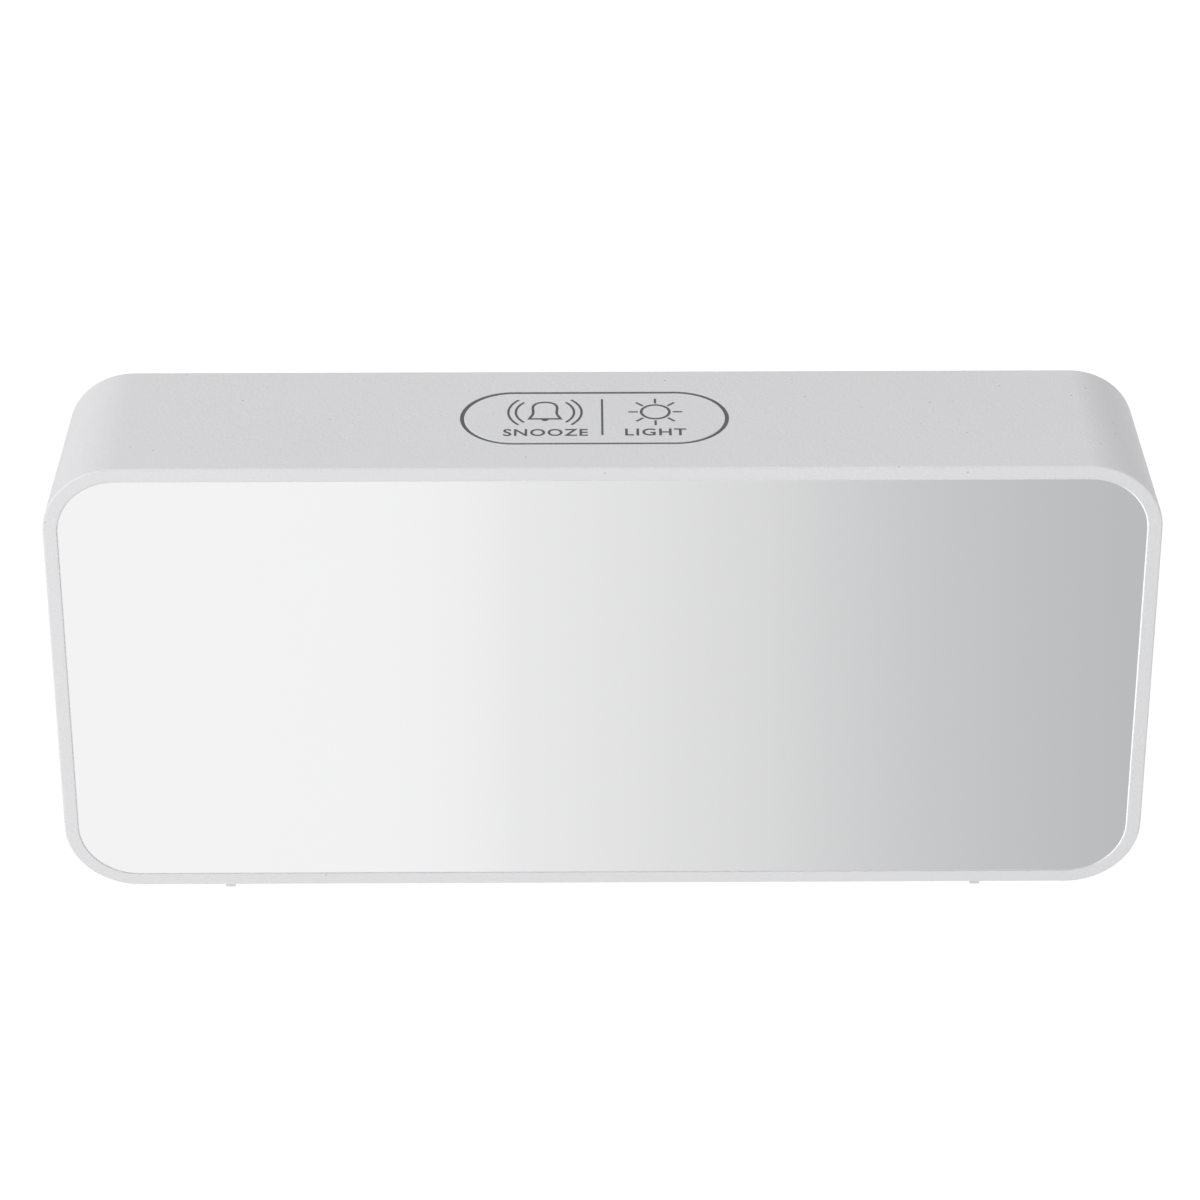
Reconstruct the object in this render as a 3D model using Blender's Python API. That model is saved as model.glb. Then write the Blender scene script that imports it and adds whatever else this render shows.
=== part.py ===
"""Mirror-fronted digital alarm clock, built the way it comes apart on a bench.

Frame: metres, +Z up, +X to the right of someone facing the mirror, -Y towards them.
The origin is on the table, under the middle of the case.
"""

import math

import bmesh
import bpy
from mathutils import Matrix, Vector
from mathutils.geometry import delaunay_2d_cdt

MM = 0.001

# ---- driving dimensions ----
WIDTH = 162.0 * MM
HEIGHT = 75.2 * MM  # of the housing, without its feet
DEPTH = 29.4 * MM
CORNER_RADIUS = 10.95 * MM
FRAME_RING = 2.08 * MM  # white border round the mirror
DRAFT = 1.8 * MM  # how far each side has drawn in by the rear edge
WALL = 2.0 * MM
FOOT_DROP = 1.2 * MM
FOOT_X = 56.5 * MM
KEY_X = -1.1 * MM
KEY_Y = 0.2 * MM
KEY_STRAIGHT = 11.75 * MM  # half the straight part of the key's outline
KEY_MID_RADIUS = 7.58 * MM  # to the middle of the gap round the key
KEY_GAP = 0.55 * MM
KEY_TRAVEL = 0.6 * MM
KEY_SKIRT_LOW = 71.8 * MM
KEY_CEILING = 73.1 * MM
SEAL_CLEARANCE = 0.07 * MM  # of the seal from the key and from the housing
SEAL_DROP = 0.1 * MM  # below the surface
SEAL_DEPTH = 1.0 * MM
BUTTON_TRAVEL = 0.5 * MM
CELL_PITCH = 11.3 * MM  # three AAA cells lie one above another
BAY_LENGTH = 51.2 * MM

# ---- derived places ----
FRONT = -DEPTH / 2
BACK = DEPTH / 2
MIDDLE = FOOT_DROP + HEIGHT / 2
REAR_FACE = BACK - 0.6 * MM  # the rear cover sits a little inside the rim
CORNER_STEPS = 7
SEAT = 0.1 * MM  # clearance between pieces that rest on each other

# ---- the stack behind the mirror, from the front ----
LENS_FRONT = FRONT + 0.2 * MM
LENS_BACK = LENS_FRONT + 2.0 * MM
LENS_GAP = 0.05 * MM  # between the mirror and its border
LENS_BEVEL = 0.2 * MM
TAPE_BACK = LENS_BACK + SEAT + 0.4 * MM
PANEL_FRONT = TAPE_BACK + SEAT
PANEL_BACK = PANEL_FRONT + 1.7 * MM
REFLECTOR_BACK = -2.8 * MM
BOARD_FRONT = REFLECTOR_BACK + SEAT
BOARD_BACK = BOARD_FRONT + 1.6 * MM
WINDOW = (112 * MM, 42 * MM)
REFLECTOR = (120 * MM, 50 * MM)
BOARD = (134 * MM, 56 * MM)
CHIP_HEIGHT = 56.5 * MM
CRYSTAL_X = (17 * MM, 24 * MM)
CAPACITOR = (42 * MM, 30.5 * MM)

# ---- fixings ----
CASE_SCREW_X = 71 * MM
CASE_SCREW_RISE = 27 * MM
CASE_BOSS_RADIUS = 3.0 * MM
CASE_BOSS_BACK = 4.1 * MM
CASE_PILOT_RADIUS = 1.4 * MM
CASE_PILOT_END = -5.5 * MM
CASE_SCREW_SEAT = 6.1 * MM
BOARD_SCREW_X = 63.7 * MM
BOARD_SCREW_RISE = 24 * MM
BOARD_BOSS_RADIUS = 2.5 * MM
BOARD_PILOT_END = -8.5 * MM
KEY_BOSS_RADIUS = 2.2 * MM
KEY_PILOT_RADIUS = 1.0 * MM
SMALL_PILOT_RADIUS = 1.1 * MM  # for the screws of the main board and of the rear board
BOARD_HOLE_RADIUS = 1.2 * MM

# ---- rear cover and battery bay ----
COVER_THICKNESS = 2.0 * MM
COVER_GAP = 0.25 * MM
COVER_INSIDE = REAR_FACE - COVER_THICKNESS
BAY_MIDDLE = 30.7 * MM
BAY_HEIGHT = 3 * CELL_PITCH + 0.5 * MM
BAY_FLOOR = 2.3 * MM
BAY_WALL = 1.2 * MM
CELL_Y = BAY_FLOOR + 5.3 * MM
DOOR = (54.6 * MM, 38.0 * MM)
DOOR_GAP = 0.3 * MM
DOOR_THICKNESS = 1.15 * MM
DOOR_INSIDE = REAR_FACE - DOOR_THICKNESS
DOOR_BOTTOM = BAY_MIDDLE - DOOR[1] / 2
LEDGE_BACK = DOOR_INSIDE - 0.15 * MM
LEDGE_FRONT = LEDGE_BACK - 1.4 * MM
TAB_X = 15 * MM

# ---- rear board, its buttons and the power inlet ----
ROW_HEIGHT = 61.5 * MM
REAR_BOARD_FRONT = 5.0 * MM
REAR_BOARD_BACK = 6.2 * MM
REAR_BOARD_X = (-44 * MM, 64 * MM)
REAR_BOARD_SCREW_X = (-40.5 * MM, 60.5 * MM)
BUTTONS = {"mode": -30 * MM, "set": -12 * MM, "down": 6 * MM, "up": 24 * MM}
BUTTON_FACE = BACK - 0.15 * MM
USB_X = 48 * MM
USB_MOUTH = REAR_FACE - 0.2 * MM
BUZZER = (-50 * MM, 30.5 * MM)

# ---- key board under the top key ----
KEY_BOARD_LOW = 68.1 * MM
KEY_BOARD_HIGH = 69.3 * MM
KEY_SWITCH_X = 9 * MM
KEY_SCREW_X = 27 * MM
KEY_SCREW_Y = 1.6 * MM

MATERIALS = {  # colour, roughness, metallic
    "white_abs": ((0.80, 0.80, 0.81), 0.45, 0.0),
    "key_abs": ((0.78, 0.78, 0.79), 0.45, 0.0),
    "mirror": ((0.86, 0.87, 0.88), 0.03, 1.0),
    "tape": ((0.05, 0.05, 0.05), 0.9, 0.0),
    "film": ((0.85, 0.85, 0.85), 0.5, 0.0),
    "reflector": ((0.9, 0.9, 0.9), 0.4, 0.0),
    "board": ((0.03, 0.22, 0.1), 0.4, 0.0),
    "chip": ((0.02, 0.02, 0.02), 0.5, 0.0),
    "metal": ((0.75, 0.75, 0.76), 0.25, 1.0),
    "red": ((0.6, 0.03, 0.03), 0.5, 0.0),
    "foot": ((0.7, 0.7, 0.7), 0.8, 0.0),
    "seal": ((0.12, 0.12, 0.125), 0.7, 0.0),
}


def clear_scene():
    for obj in list(bpy.data.objects):
        bpy.data.objects.remove(obj, do_unlink=True)


def make_material(name):
    colour, roughness, metallic = MATERIALS[name]
    material = bpy.data.materials.new(name)
    material.use_nodes = True
    shader = material.node_tree.nodes["Principled BSDF"]
    shader.inputs["Base Color"].default_value = (*colour, 1)
    shader.inputs["Roughness"].default_value = roughness
    shader.inputs["Metallic"].default_value = metallic
    return material


def material_named(name):
    return bpy.data.materials.get(name) or make_material(name)


# ---- outlines: lists of (u, v) ----
def arc(cx, cy, radius, start, end, steps):
    turns = [math.radians(start + (end - start) * i / steps) for i in range(steps + 1)]
    return [(cx + radius * math.cos(t), cy + radius * math.sin(t)) for t in turns]


def circle(cx, cy, radius, steps=16):
    return arc(cx, cy, radius, 0, 360 - 360 / steps, steps - 1)


def rounded(width, height, radius, cx=0.0, cy=0.0, steps=CORNER_STEPS):
    x, y = width / 2 - radius, height / 2 - radius
    corners = ((x, y, 0), (-x, y, 90), (-x, -y, 180), (x, -y, 270))
    return [
        point
        for dx, dy, start in corners
        for point in arc(cx + dx, cy + dy, radius, start, start + 90, steps)
    ]


def stadium(half_straight, radius, cx=0.0, cy=0.0, steps=14):
    right = arc(cx + half_straight, cy, radius, -90, 90, steps)
    left = arc(cx - half_straight, cy, radius, 90, 270, steps)
    return right + left


def rectangle(x, y):
    return [(x[0], y[0]), (x[1], y[0]), (x[1], y[1]), (x[0], y[1])]


# ---- where an outline's (u, v) and its height t go ----
def along_y(u, v, t):
    return Vector((u, t, v))


def along_z(u, v, t):
    return Vector((u, v, t))


def along_x(u, v, t):
    return Vector((t, u, v))


# ---- solids ----
def to_object(name, bm, material):
    bmesh.ops.recalc_face_normals(bm, faces=bm.faces)
    mesh = bpy.data.meshes.new(name)
    bm.to_mesh(mesh)
    bm.free()
    mesh.materials.append(material_named(material))
    mesh.shade_smooth()
    mesh.set_sharp_from_angle(angle=math.radians(30))
    obj = bpy.data.objects.new(name, mesh)
    bpy.context.scene.collection.objects.link(obj)
    return obj


def skin(name, rings, material="white_abs", joined=False):
    """A solid through rings of points, capped at its ends or, if joined, closed round on itself."""
    bm = bmesh.new()
    rows = [[bm.verts.new(point) for point in points] for points in rings]
    pairs = list(zip(rows, rows[1:]))
    if joined:
        pairs.append((rows[-1], rows[0]))
    for first, second in pairs:
        for i in range(len(first)):
            j = (i + 1) % len(first)
            bm.faces.new((first[i], first[j], second[j], second[i]))
    if not joined:
        bm.faces.new(rows[0])
        bm.faces.new(rows[-1])
    return to_object(name, bm, material)


def within(point, loop):
    crossings = 0
    for (x0, y0), (x1, y1) in zip(loop, [*loop[1:], loop[0]]):
        if (y0 > point[1]) != (y1 > point[1]):
            crossings += point[0] < x0 + (point[1] - y0) * (x1 - x0) / (y1 - y0)
    return crossings % 2 == 1


def fill(outer, holes):
    """Triangles that cover the outline but not its holes, numbering the points in order."""
    points, edges = [], []
    for loop in (outer, *holes):
        first, count = len(points), len(loop)
        edges += [(first + i, first + (i + 1) % count) for i in range(count)]
        points += [Vector(point) for point in loop]
    found = delaunay_2d_cdt(points, edges, [], 1, 1e-8)
    triangles = []
    for face in found[2]:
        corners = [found[3][k][0] for k in face]
        centre = sum((points[k] for k in corners), Vector((0, 0))) / 3
        if within(centre, outer) and not any(within(centre, hole) for hole in holes):
            triangles.append(corners)
    return triangles


def plate(name, outer, low, high, material="white_abs", holes=(), place=along_y):
    """An outline with holes, raised from low to high."""
    loops = [list(outer), *[list(hole) for hole in holes]]
    bm = bmesh.new()
    ends = []
    for t in (low, high):
        ends.append([[bm.verts.new(place(u, v, t)) for u, v in loop] for loop in loops])
    for first, second in zip(*ends):
        for i in range(len(first)):
            j = (i + 1) % len(first)
            bm.faces.new((first[i], first[j], second[j], second[i]))
    triangles = fill(loops[0], loops[1:])
    for end in ends:
        verts = [vert for loop in end for vert in loop]
        for triangle in triangles:
            bm.faces.new([verts[k] for k in triangle])
    return to_object(name, bm, material)


def box(name, x, y, z, material="white_abs"):
    return plate(name, rectangle(x, y), z[0], z[1], material, place=along_z)


def rod(name, centre, radius, low, high, material="white_abs", place=along_y, steps=16):
    return plate(name, circle(*centre, radius, steps), low, high, material, place=place)


def about(middle, half):
    return (middle - half, middle + half)


def combine(target, operation, tools):
    """Joins the tools to the target, or cuts them from it, and hides them."""
    for tool in tools:
        modifier = target.modifiers.new(tool.name, "BOOLEAN")
        modifier.operation = operation
        modifier.object = tool
        tool.hide_render = True
        tool.display_type = "WIRE"
    return target


def gathered(name, tools):
    """Several separate shapes in one mesh, for use as one tool."""
    bm = bmesh.new()
    for tool in tools:
        bm.from_mesh(tool.data)
        bpy.data.objects.remove(tool)
    return to_object(name, bm, "white_abs")


def set_origin(obj, point):
    obj.data.transform(Matrix.Translation(-Vector(point)))
    obj.location = point
    return obj


def joint_group(name, point, pieces):
    """An empty on the joint's axis that carries the pieces."""
    empty = bpy.data.objects.new(name, None)
    bpy.context.scene.collection.objects.link(empty)
    empty.location = point
    for piece in pieces:
        set_origin(piece, point)
        piece.parent = empty
        piece.location = (0, 0, 0)


# ---- the case's tapering outline ----
def inset_at(y):
    return DRAFT * (y - FRONT) / DEPTH


def case_outline(y, inward=0.0):
    """The case's outline at depth y, drawn in a further distance."""
    side = inset_at(y) + inward
    radius = CORNER_RADIUS - inset_at(y) / 2 - inward
    return rounded(WIDTH - 2 * side, HEIGHT - 2 * side, radius, 0, MIDDLE)


def lens_outline(gap=0.0):
    side = FRAME_RING + gap
    return rounded(WIDTH - 2 * side, HEIGHT - 2 * side, CORNER_RADIUS - side, 0, MIDDLE)


def at_depth(outline, y):
    return [along_y(u, v, y) for u, v in outline]


def top_of_case(y):
    return FOOT_DROP + HEIGHT - inset_at(y)


def bottom_of_case(y):
    return FOOT_DROP + inset_at(y)


def case_screw_places():
    return [
        (side * CASE_SCREW_X, MIDDLE + rise * CASE_SCREW_RISE)
        for rise in (-1, 1)
        for side in (-1, 1)
    ]


def board_screw_places():
    return [
        (side * BOARD_SCREW_X, MIDDLE + rise * BOARD_SCREW_RISE)
        for rise in (-1, 1)
        for side in (-1, 1)
    ]


# ---- front housing ----
def foot_wedge(name, side, half_width, reach, material):
    """A strip under the tapering case, let into it by reach, or the groove it lies in."""
    x = about(side * FOOT_X, half_width)
    rings = []
    for y in (FRONT + 1.0 * MM, BACK - 4 * MM):
        low = 0.0 if material == "foot" else -1 * MM
        high = bottom_of_case(y) + reach
        margin = 0.0 if material == "foot" else math.copysign(SEAT, y)
        rings.append([Vector((u, y + margin, v)) for u, v in rectangle(x, (low, high))])
    return skin(name, rings, material)


def front_housing():
    edge, rear_edge = 0.3 * MM, 0.8 * MM
    outer = [
        at_depth(case_outline(FRONT, edge), FRONT),
        at_depth(case_outline(FRONT, edge * 0.3), FRONT + edge * 0.3),
        at_depth(case_outline(FRONT + edge), FRONT + edge),
        at_depth(case_outline(BACK - rear_edge), BACK - rear_edge),
        at_depth(case_outline(BACK, rear_edge * 0.3), BACK - rear_edge * 0.3),
        at_depth(case_outline(BACK, rear_edge), BACK),
    ]
    inner = [
        at_depth(case_outline(BACK, WALL), BACK),
        at_depth(case_outline(PANEL_BACK, WALL), PANEL_BACK),
        at_depth(rounded(*WINDOW, 1 * MM, 0, MIDDLE), PANEL_BACK),
        at_depth(rounded(*WINDOW, 1 * MM, 0, MIDDLE), PANEL_FRONT),
        at_depth(lens_outline(), PANEL_FRONT),
        at_depth(lens_outline(), FRONT),
    ]
    housing = skin("front_housing", outer + inner, joined=True)

    root = PANEL_BACK - 0.6 * MM
    bosses = [
        rod(f"case_boss_{i}", place, CASE_BOSS_RADIUS, root, CASE_BOSS_BACK)
        for i, place in enumerate(case_screw_places())
    ]
    bosses += [
        rod(f"board_boss_{i}", place, BOARD_BOSS_RADIUS, root, REFLECTOR_BACK)
        for i, place in enumerate(board_screw_places())
    ]
    bosses += [
        rod(
            f"key_boss_{i}",
            (KEY_X + side * KEY_SCREW_X, KEY_SCREW_Y),
            KEY_BOSS_RADIUS,
            KEY_BOARD_HIGH + SEAT,
            top_of_case(KEY_SCREW_Y) - 0.9 * MM,
            place=along_z,
        )
        for i, side in enumerate((-1, 1))
    ]
    combine(housing, "UNION", bosses)

    holes = [
        rod(
            f"case_pilot_{i}",
            place,
            CASE_PILOT_RADIUS,
            CASE_PILOT_END,
            CASE_BOSS_BACK + 1 * MM,
            steps=12,
        )
        for i, place in enumerate(case_screw_places())
    ]
    holes += [
        rod(
            f"board_pilot_{i}",
            place,
            SMALL_PILOT_RADIUS,
            BOARD_PILOT_END,
            REFLECTOR_BACK + 1 * MM,
            steps=10,
        )
        for i, place in enumerate(board_screw_places())
    ]
    holes += [
        rod(
            f"key_pilot_{i}",
            (KEY_X + side * KEY_SCREW_X, KEY_SCREW_Y),
            KEY_PILOT_RADIUS,
            KEY_BOARD_HIGH - 1 * MM,
            KEY_BOARD_HIGH + 4 * MM,
            place=along_z,
            steps=10,
        )
        for i, side in enumerate((-1, 1))
    ]
    opening = stadium(KEY_STRAIGHT, KEY_MID_RADIUS + KEY_GAP / 2, KEY_X, KEY_Y)
    opening_low, opening_high = KEY_SKIRT_LOW - 0.3 * MM, FOOT_DROP + HEIGHT + 2 * MM
    holes.append(plate("key_opening", opening, opening_low, opening_high, place=along_z))
    holes += [
        foot_wedge(f"foot_groove_{i}", side, 0.85 * MM, 0.8 * MM, "white_abs")
        for i, side in enumerate((-1, 1))
    ]
    return combine(housing, "DIFFERENCE", holes)


def feet():
    for name, side in (("foot_left", -1), ("foot_right", 1)):
        foot_wedge(name, side, 0.75 * MM, 0.7 * MM, "foot")


# ---- mirror and display ----
def display_stack():
    lens = [
        at_depth(lens_outline(LENS_GAP + LENS_BEVEL), LENS_FRONT),
        at_depth(lens_outline(LENS_GAP), LENS_FRONT + LENS_BEVEL),
        at_depth(lens_outline(LENS_GAP), LENS_BACK),
    ]
    skin("mirror_lens", lens, "mirror")

    tape_hole = rounded(WINDOW[0] + 12 * MM, WINDOW[1] + 8 * MM, 2 * MM, 0, MIDDLE, steps=3)
    plate(
        "lens_tape",
        lens_outline(1 * MM),
        LENS_BACK + SEAT,
        TAPE_BACK,
        "tape",
        holes=[tape_hole],
    )
    film = rounded(WINDOW[0] - 1 * MM, WINDOW[1] - 1 * MM, 1 * MM, 0, MIDDLE, steps=2)
    plate("diffuser_film", film, LENS_BACK + SEAT, PANEL_FRONT - SEAT, "film")
    segment_reflector()


def digit_places():
    return [-41 * MM, -17.5 * MM, 17.5 * MM, 41 * MM]


def segment_outlines():
    """The seven six-sided segments of a digit, as (centre u, centre v, outline about that centre)."""
    width, height, stroke, gap = 18 * MM, 32 * MM, 3.4 * MM, 0.35 * MM
    across, up = (width - stroke) / 2, (height - stroke) / 4
    found = []
    for v in (-2 * up, 0.0, 2 * up):
        found.append((0.0, v, slanted(across - gap, stroke / 2, False)))
    for u in (-across, across):
        for v in (-up, up):
            found.append((u, v, slanted(up - gap, stroke / 2, True)))
    return found


def slanted(reach, half_stroke, upright):
    """A bar with pointed ends."""
    shoulder = reach - half_stroke
    points = [
        (reach, 0.0),
        (shoulder, half_stroke),
        (-shoulder, half_stroke),
        (-reach, 0.0),
        (-shoulder, -half_stroke),
        (shoulder, -half_stroke),
    ]
    return [(-v, u) for u, v in points] if upright else points


def wells():
    """Centre and outline of every lit cell: four digits and the colon."""
    found = []
    for x in digit_places():
        for u, v, outline in segment_outlines():
            centre = (x + u, MIDDLE + v)
            found.append((centre, [(centre[0] + a, centre[1] + b) for a, b in outline]))
    for v in (-6 * MM, 6 * MM):
        centre = (0.0, MIDDLE + v)
        found.append((centre, circle(*centre, 1.9 * MM, 10)))
    return found


def segment_reflector():
    nose = rounded(WINDOW[0] - 1 * MM, WINDOW[1] - 1 * MM, 1 * MM, 0, MIDDLE, steps=2)
    cells = [outline for _, outline in wells()]
    block = plate(
        "segment_reflector",
        nose,
        PANEL_FRONT + SEAT,
        REFLECTOR_BACK,
        "reflector",
        holes=cells,
    )
    flange = plate(
        "reflector_flange",
        rounded(*REFLECTOR, 1.5 * MM, 0, MIDDLE, steps=2),
        PANEL_BACK + SEAT,
        PANEL_BACK + 2 * MM,
        holes=[rounded(WINDOW[0] - 3 * MM, WINDOW[1] - 3 * MM, 1 * MM, 0, MIDDLE, steps=2)],
    )
    combine(block, "UNION", [flange])


def main_board():
    pilots = [circle(*place, BOARD_HOLE_RADIUS, 10) for place in board_screw_places()]
    outline = rounded(*BOARD, 2 * MM, 0, MIDDLE, steps=2)
    board = plate("main_board", outline, BOARD_FRONT, BOARD_BACK, "board", holes=pilots)
    chips = [
        box(
            f"led_{i}",
            about(u, 1.0 * MM),
            (BOARD_FRONT - 0.8 * MM, BOARD_FRONT + 0.3 * MM),
            about(v, 1.0 * MM),
        )
        for i, ((u, v), _) in enumerate(wells())
    ]
    combine(board, "UNION", [gathered("led_chips", chips)])

    on_board = BOARD_BACK + SEAT
    chip_y = (on_board, on_board + 1.4 * MM)
    box("microcontroller", about(6 * MM, 5 * MM), chip_y, about(CHIP_HEIGHT, 5 * MM), "chip")
    box("display_driver", about(-16 * MM, 7 * MM), chip_y, about(CHIP_HEIGHT, 4 * MM), "chip")
    crystal_radius = 1.0 * MM
    crystal_axis = (on_board + crystal_radius, CHIP_HEIGHT + 1 * MM)
    rod("clock_crystal", crystal_axis, crystal_radius, *CRYSTAL_X, "metal", along_x, 12)
    capacitor_back = on_board + 7.5 * MM
    rod("reservoir_capacitor", CAPACITOR, 3.15 * MM, on_board, capacitor_back, "chip", steps=20)
    buzzer = rod("buzzer", BUZZER, 6 * MM, on_board, on_board + 6.5 * MM, "chip", steps=24)
    port = rod("buzzer_port", BUZZER, 1.3 * MM, on_board + 4 * MM, on_board + 8 * MM)
    combine(buzzer, "DIFFERENCE", [port])


# ---- screws ----
def screw(name, place_at, face, direction, length, head_radius, place=along_y):
    """A pan-head screw: face is where the head's underside seats, direction points along the shank."""
    head = 1.6 * MM
    shank_radius = head_radius * 0.46
    profile = [
        (head_radius * 0.7, -head),
        (head_radius, -head * 0.6),
        (head_radius, 0.0),
        (shank_radius, 0.0),
        (shank_radius, length - shank_radius),
        (shank_radius * 0.3, length),
    ]
    rings = [
        [place(u, v, face + direction * along) for u, v in circle(*place_at, radius, 12)]
        for radius, along in profile
    ]
    made = skin(name, rings, "metal")
    slot_start = face - direction * (head + 0.5 * MM)
    slot_end = face - direction * (head - 0.9 * MM)
    slots = []
    for i, (a, b) in enumerate(((0.55, 0.12), (0.12, 0.55))):
        outline = rectangle(
            about(place_at[0], head_radius * a), about(place_at[1], head_radius * b)
        )
        low, high = sorted((slot_start, slot_end))
        slots.append(plate(f"{name}_slot_{i}", outline, low, high, place=place))
    return combine(made, "DIFFERENCE", slots)


def screws():
    for i, place_at in enumerate(case_screw_places(), 1):
        screw(f"case_screw_{i}", place_at, CASE_SCREW_SEAT, -1, 9.5 * MM, 2.6 * MM)
    for i, place_at in enumerate(board_screw_places(), 1):
        screw(f"board_screw_{i}", place_at, BOARD_BACK + SEAT, -1, 6.2 * MM, 2.0 * MM)
    for i, x in enumerate(REAR_BOARD_SCREW_X, 1):
        screw(
            f"rear_board_screw_{i}", (x, ROW_HEIGHT), REAR_BOARD_FRONT - SEAT, 1, 5 * MM, 2.0 * MM
        )
    for i, side in enumerate((-1, 1), 1):
        screw(
            f"key_board_screw_{i}",
            (KEY_X + side * KEY_SCREW_X, KEY_SCREW_Y),
            KEY_BOARD_LOW - SEAT,
            1,
            4.2 * MM,
            1.9 * MM,
            place=along_z,
        )


# ---- rear cover ----
def sound_holes():
    """A middle hole and six round it."""
    around = arc(*BUZZER, 3 * MM, 0, 300, 5)
    return [circle(u, v, 0.7 * MM, 8) for u, v in [BUZZER, *around]]


def rear_cover():
    outline = case_outline(REAR_FACE, WALL + COVER_GAP)
    door_hole = rounded(
        DOOR[0] + 2 * DOOR_GAP, DOOR[1] + 2 * DOOR_GAP, 2 * MM, 0, BAY_MIDDLE, steps=3
    )
    holes = [door_hole, *sound_holes()]
    holes += [stadium(3.2 * MM, 3.25 * MM, x, ROW_HEIGHT, 8) for x in BUTTONS.values()]
    holes.append(rounded(9 * MM, 3.9 * MM, 1 * MM, USB_X, ROW_HEIGHT, steps=2))
    cover = plate("rear_cover", outline, COVER_INSIDE, REAR_FACE, holes=holes)

    rim = plate(
        "cover_rim",
        case_outline(REAR_FACE, WALL + COVER_GAP + 0.2 * MM),
        COVER_INSIDE - 2.5 * MM,
        COVER_INSIDE + 0.5 * MM,
        holes=[case_outline(REAR_FACE, WALL + COVER_GAP + 1.4 * MM)],
    )
    bay = rounded(BAY_LENGTH, BAY_HEIGHT, 1 * MM, 0, BAY_MIDDLE, steps=2)
    tub_outline = rounded(
        BAY_LENGTH + 2 * BAY_WALL, BAY_HEIGHT + 2 * BAY_WALL, 2 * MM, 0, BAY_MIDDLE, steps=2
    )
    ledge_outline = rounded(DOOR[0] + 3.4 * MM, DOOR[1] + 3 * MM, 2 * MM, 0, BAY_MIDDLE, steps=2)
    ledge = plate("bay_ledge", ledge_outline, LEDGE_FRONT, LEDGE_BACK)
    tub = plate("bay_tub", tub_outline, BAY_FLOOR - BAY_WALL, LEDGE_BACK - 0.4 * MM)
    additions = [rim, ledge, tub]
    cuts = [plate("bay", bay, BAY_FLOOR, LEDGE_BACK + 0.1 * MM)]
    seat = CASE_SCREW_SEAT - SEAT
    for i, place in enumerate(case_screw_places()):
        low, high = CASE_BOSS_BACK + SEAT, COVER_INSIDE + 0.5 * MM
        additions.append(rod(f"screw_well_{i}", place, 4.5 * MM, low, high, steps=20))
        cuts.append(rod(f"screw_sink_{i}", place, 3.4 * MM, seat, BACK))
        cuts.append(rod(f"screw_way_{i}", place, 1.6 * MM, low - 1 * MM, seat + 1 * MM, steps=12))
    for i, x in enumerate(REAR_BOARD_SCREW_X):
        post_end = REAR_BOARD_BACK + SEAT
        pilot = circle(x, ROW_HEIGHT, SMALL_PILOT_RADIUS, 10)
        additions.append(
            plate(
                f"rear_board_post_{i}",
                circle(x, ROW_HEIGHT, 2.4 * MM),
                post_end,
                COVER_INSIDE + 0.5 * MM,
                holes=[pilot],
            )
        )
    combine(cover, "UNION", additions)

    for i, side in enumerate((-1, 1)):
        x = side * TAB_X
        cuts.append(
            box(
                f"tab_notch_{i}",
                about(x, 3.4 * MM),
                (LEDGE_FRONT - 1.7 * MM, LEDGE_BACK + 0.1 * MM),
                (DOOR_BOTTOM - DOOR_GAP, BAY_MIDDLE - BAY_HEIGHT / 2 + 0.3 * MM),
            )
        )
    for i, (side, height) in enumerate(tail_places()):
        reach = sorted((side * (BAY_LENGTH / 2 - 0.5 * MM), side * (BAY_LENGTH / 2 + 2 * MM)))
        cuts.append(
            box(f"tail_slot_{i}", reach, about(CELL_Y, 0.5 * MM), about(height, 1.4 * MM))
        )
    return combine(cover, "DIFFERENCE", cuts)


def battery_door():
    half_width = DOOR[0] / 2
    top = BAY_MIDDLE + DOOR[1] / 2
    slit, tongue, depth = 1.0 * MM, 6 * MM, 7 * MM
    corner = 1.7 * MM
    low = DOOR_BOTTOM + corner
    high = top - corner
    outline = arc(half_width - corner, high, corner, 0, 90, 3)
    for side in (1, -1):
        edges = [tongue + slit, tongue] if side == 1 else [tongue, tongue + slit]
        outline += [(side * edges[0], top), (side * edges[0], top - depth)]
        outline += [(side * edges[1], top - depth), (side * edges[1], top)]
    outline += arc(-half_width + corner, high, corner, 90, 180, 3)
    outline += arc(-half_width + corner, low, corner, 180, 270, 3)
    outline += arc(half_width - corner, low, corner, 270, 360, 3)
    door = plate("battery_door", outline, DOOR_INSIDE, REAR_FACE)
    hooks = []
    for i, side in enumerate((-1, 1)):
        x = about(side * TAB_X, 3 * MM)
        neck_z = (DOOR_BOTTOM, DOOR_BOTTOM + 1.4 * MM)
        hook_y = (LEDGE_FRONT - 1.2 * MM, LEDGE_FRONT - 0.2 * MM)
        neck = box(f"tab_neck_{i}", x, (hook_y[0] + 0.3 * MM, DOOR_INSIDE + 0.4 * MM), neck_z)
        hook = box(f"tab_hook_{i}", x, hook_y, (DOOR_BOTTOM - 1.3 * MM, neck_z[1] - 0.2 * MM))
        hooks += [neck, hook]
    combine(door, "UNION", hooks)
    joint_group("battery_door_hinge", (0, REAR_FACE, DOOR_BOTTOM), [door])


# ---- battery contacts ----
def cell_heights():
    return [BAY_MIDDLE + step * CELL_PITCH for step in (-1, 0, 1)]


def tail_places():
    """Side and height of the two wired contacts: negative on the left, positive on the right."""
    low, _, high = cell_heights()
    return [(-1, low), (1, high)]


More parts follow.
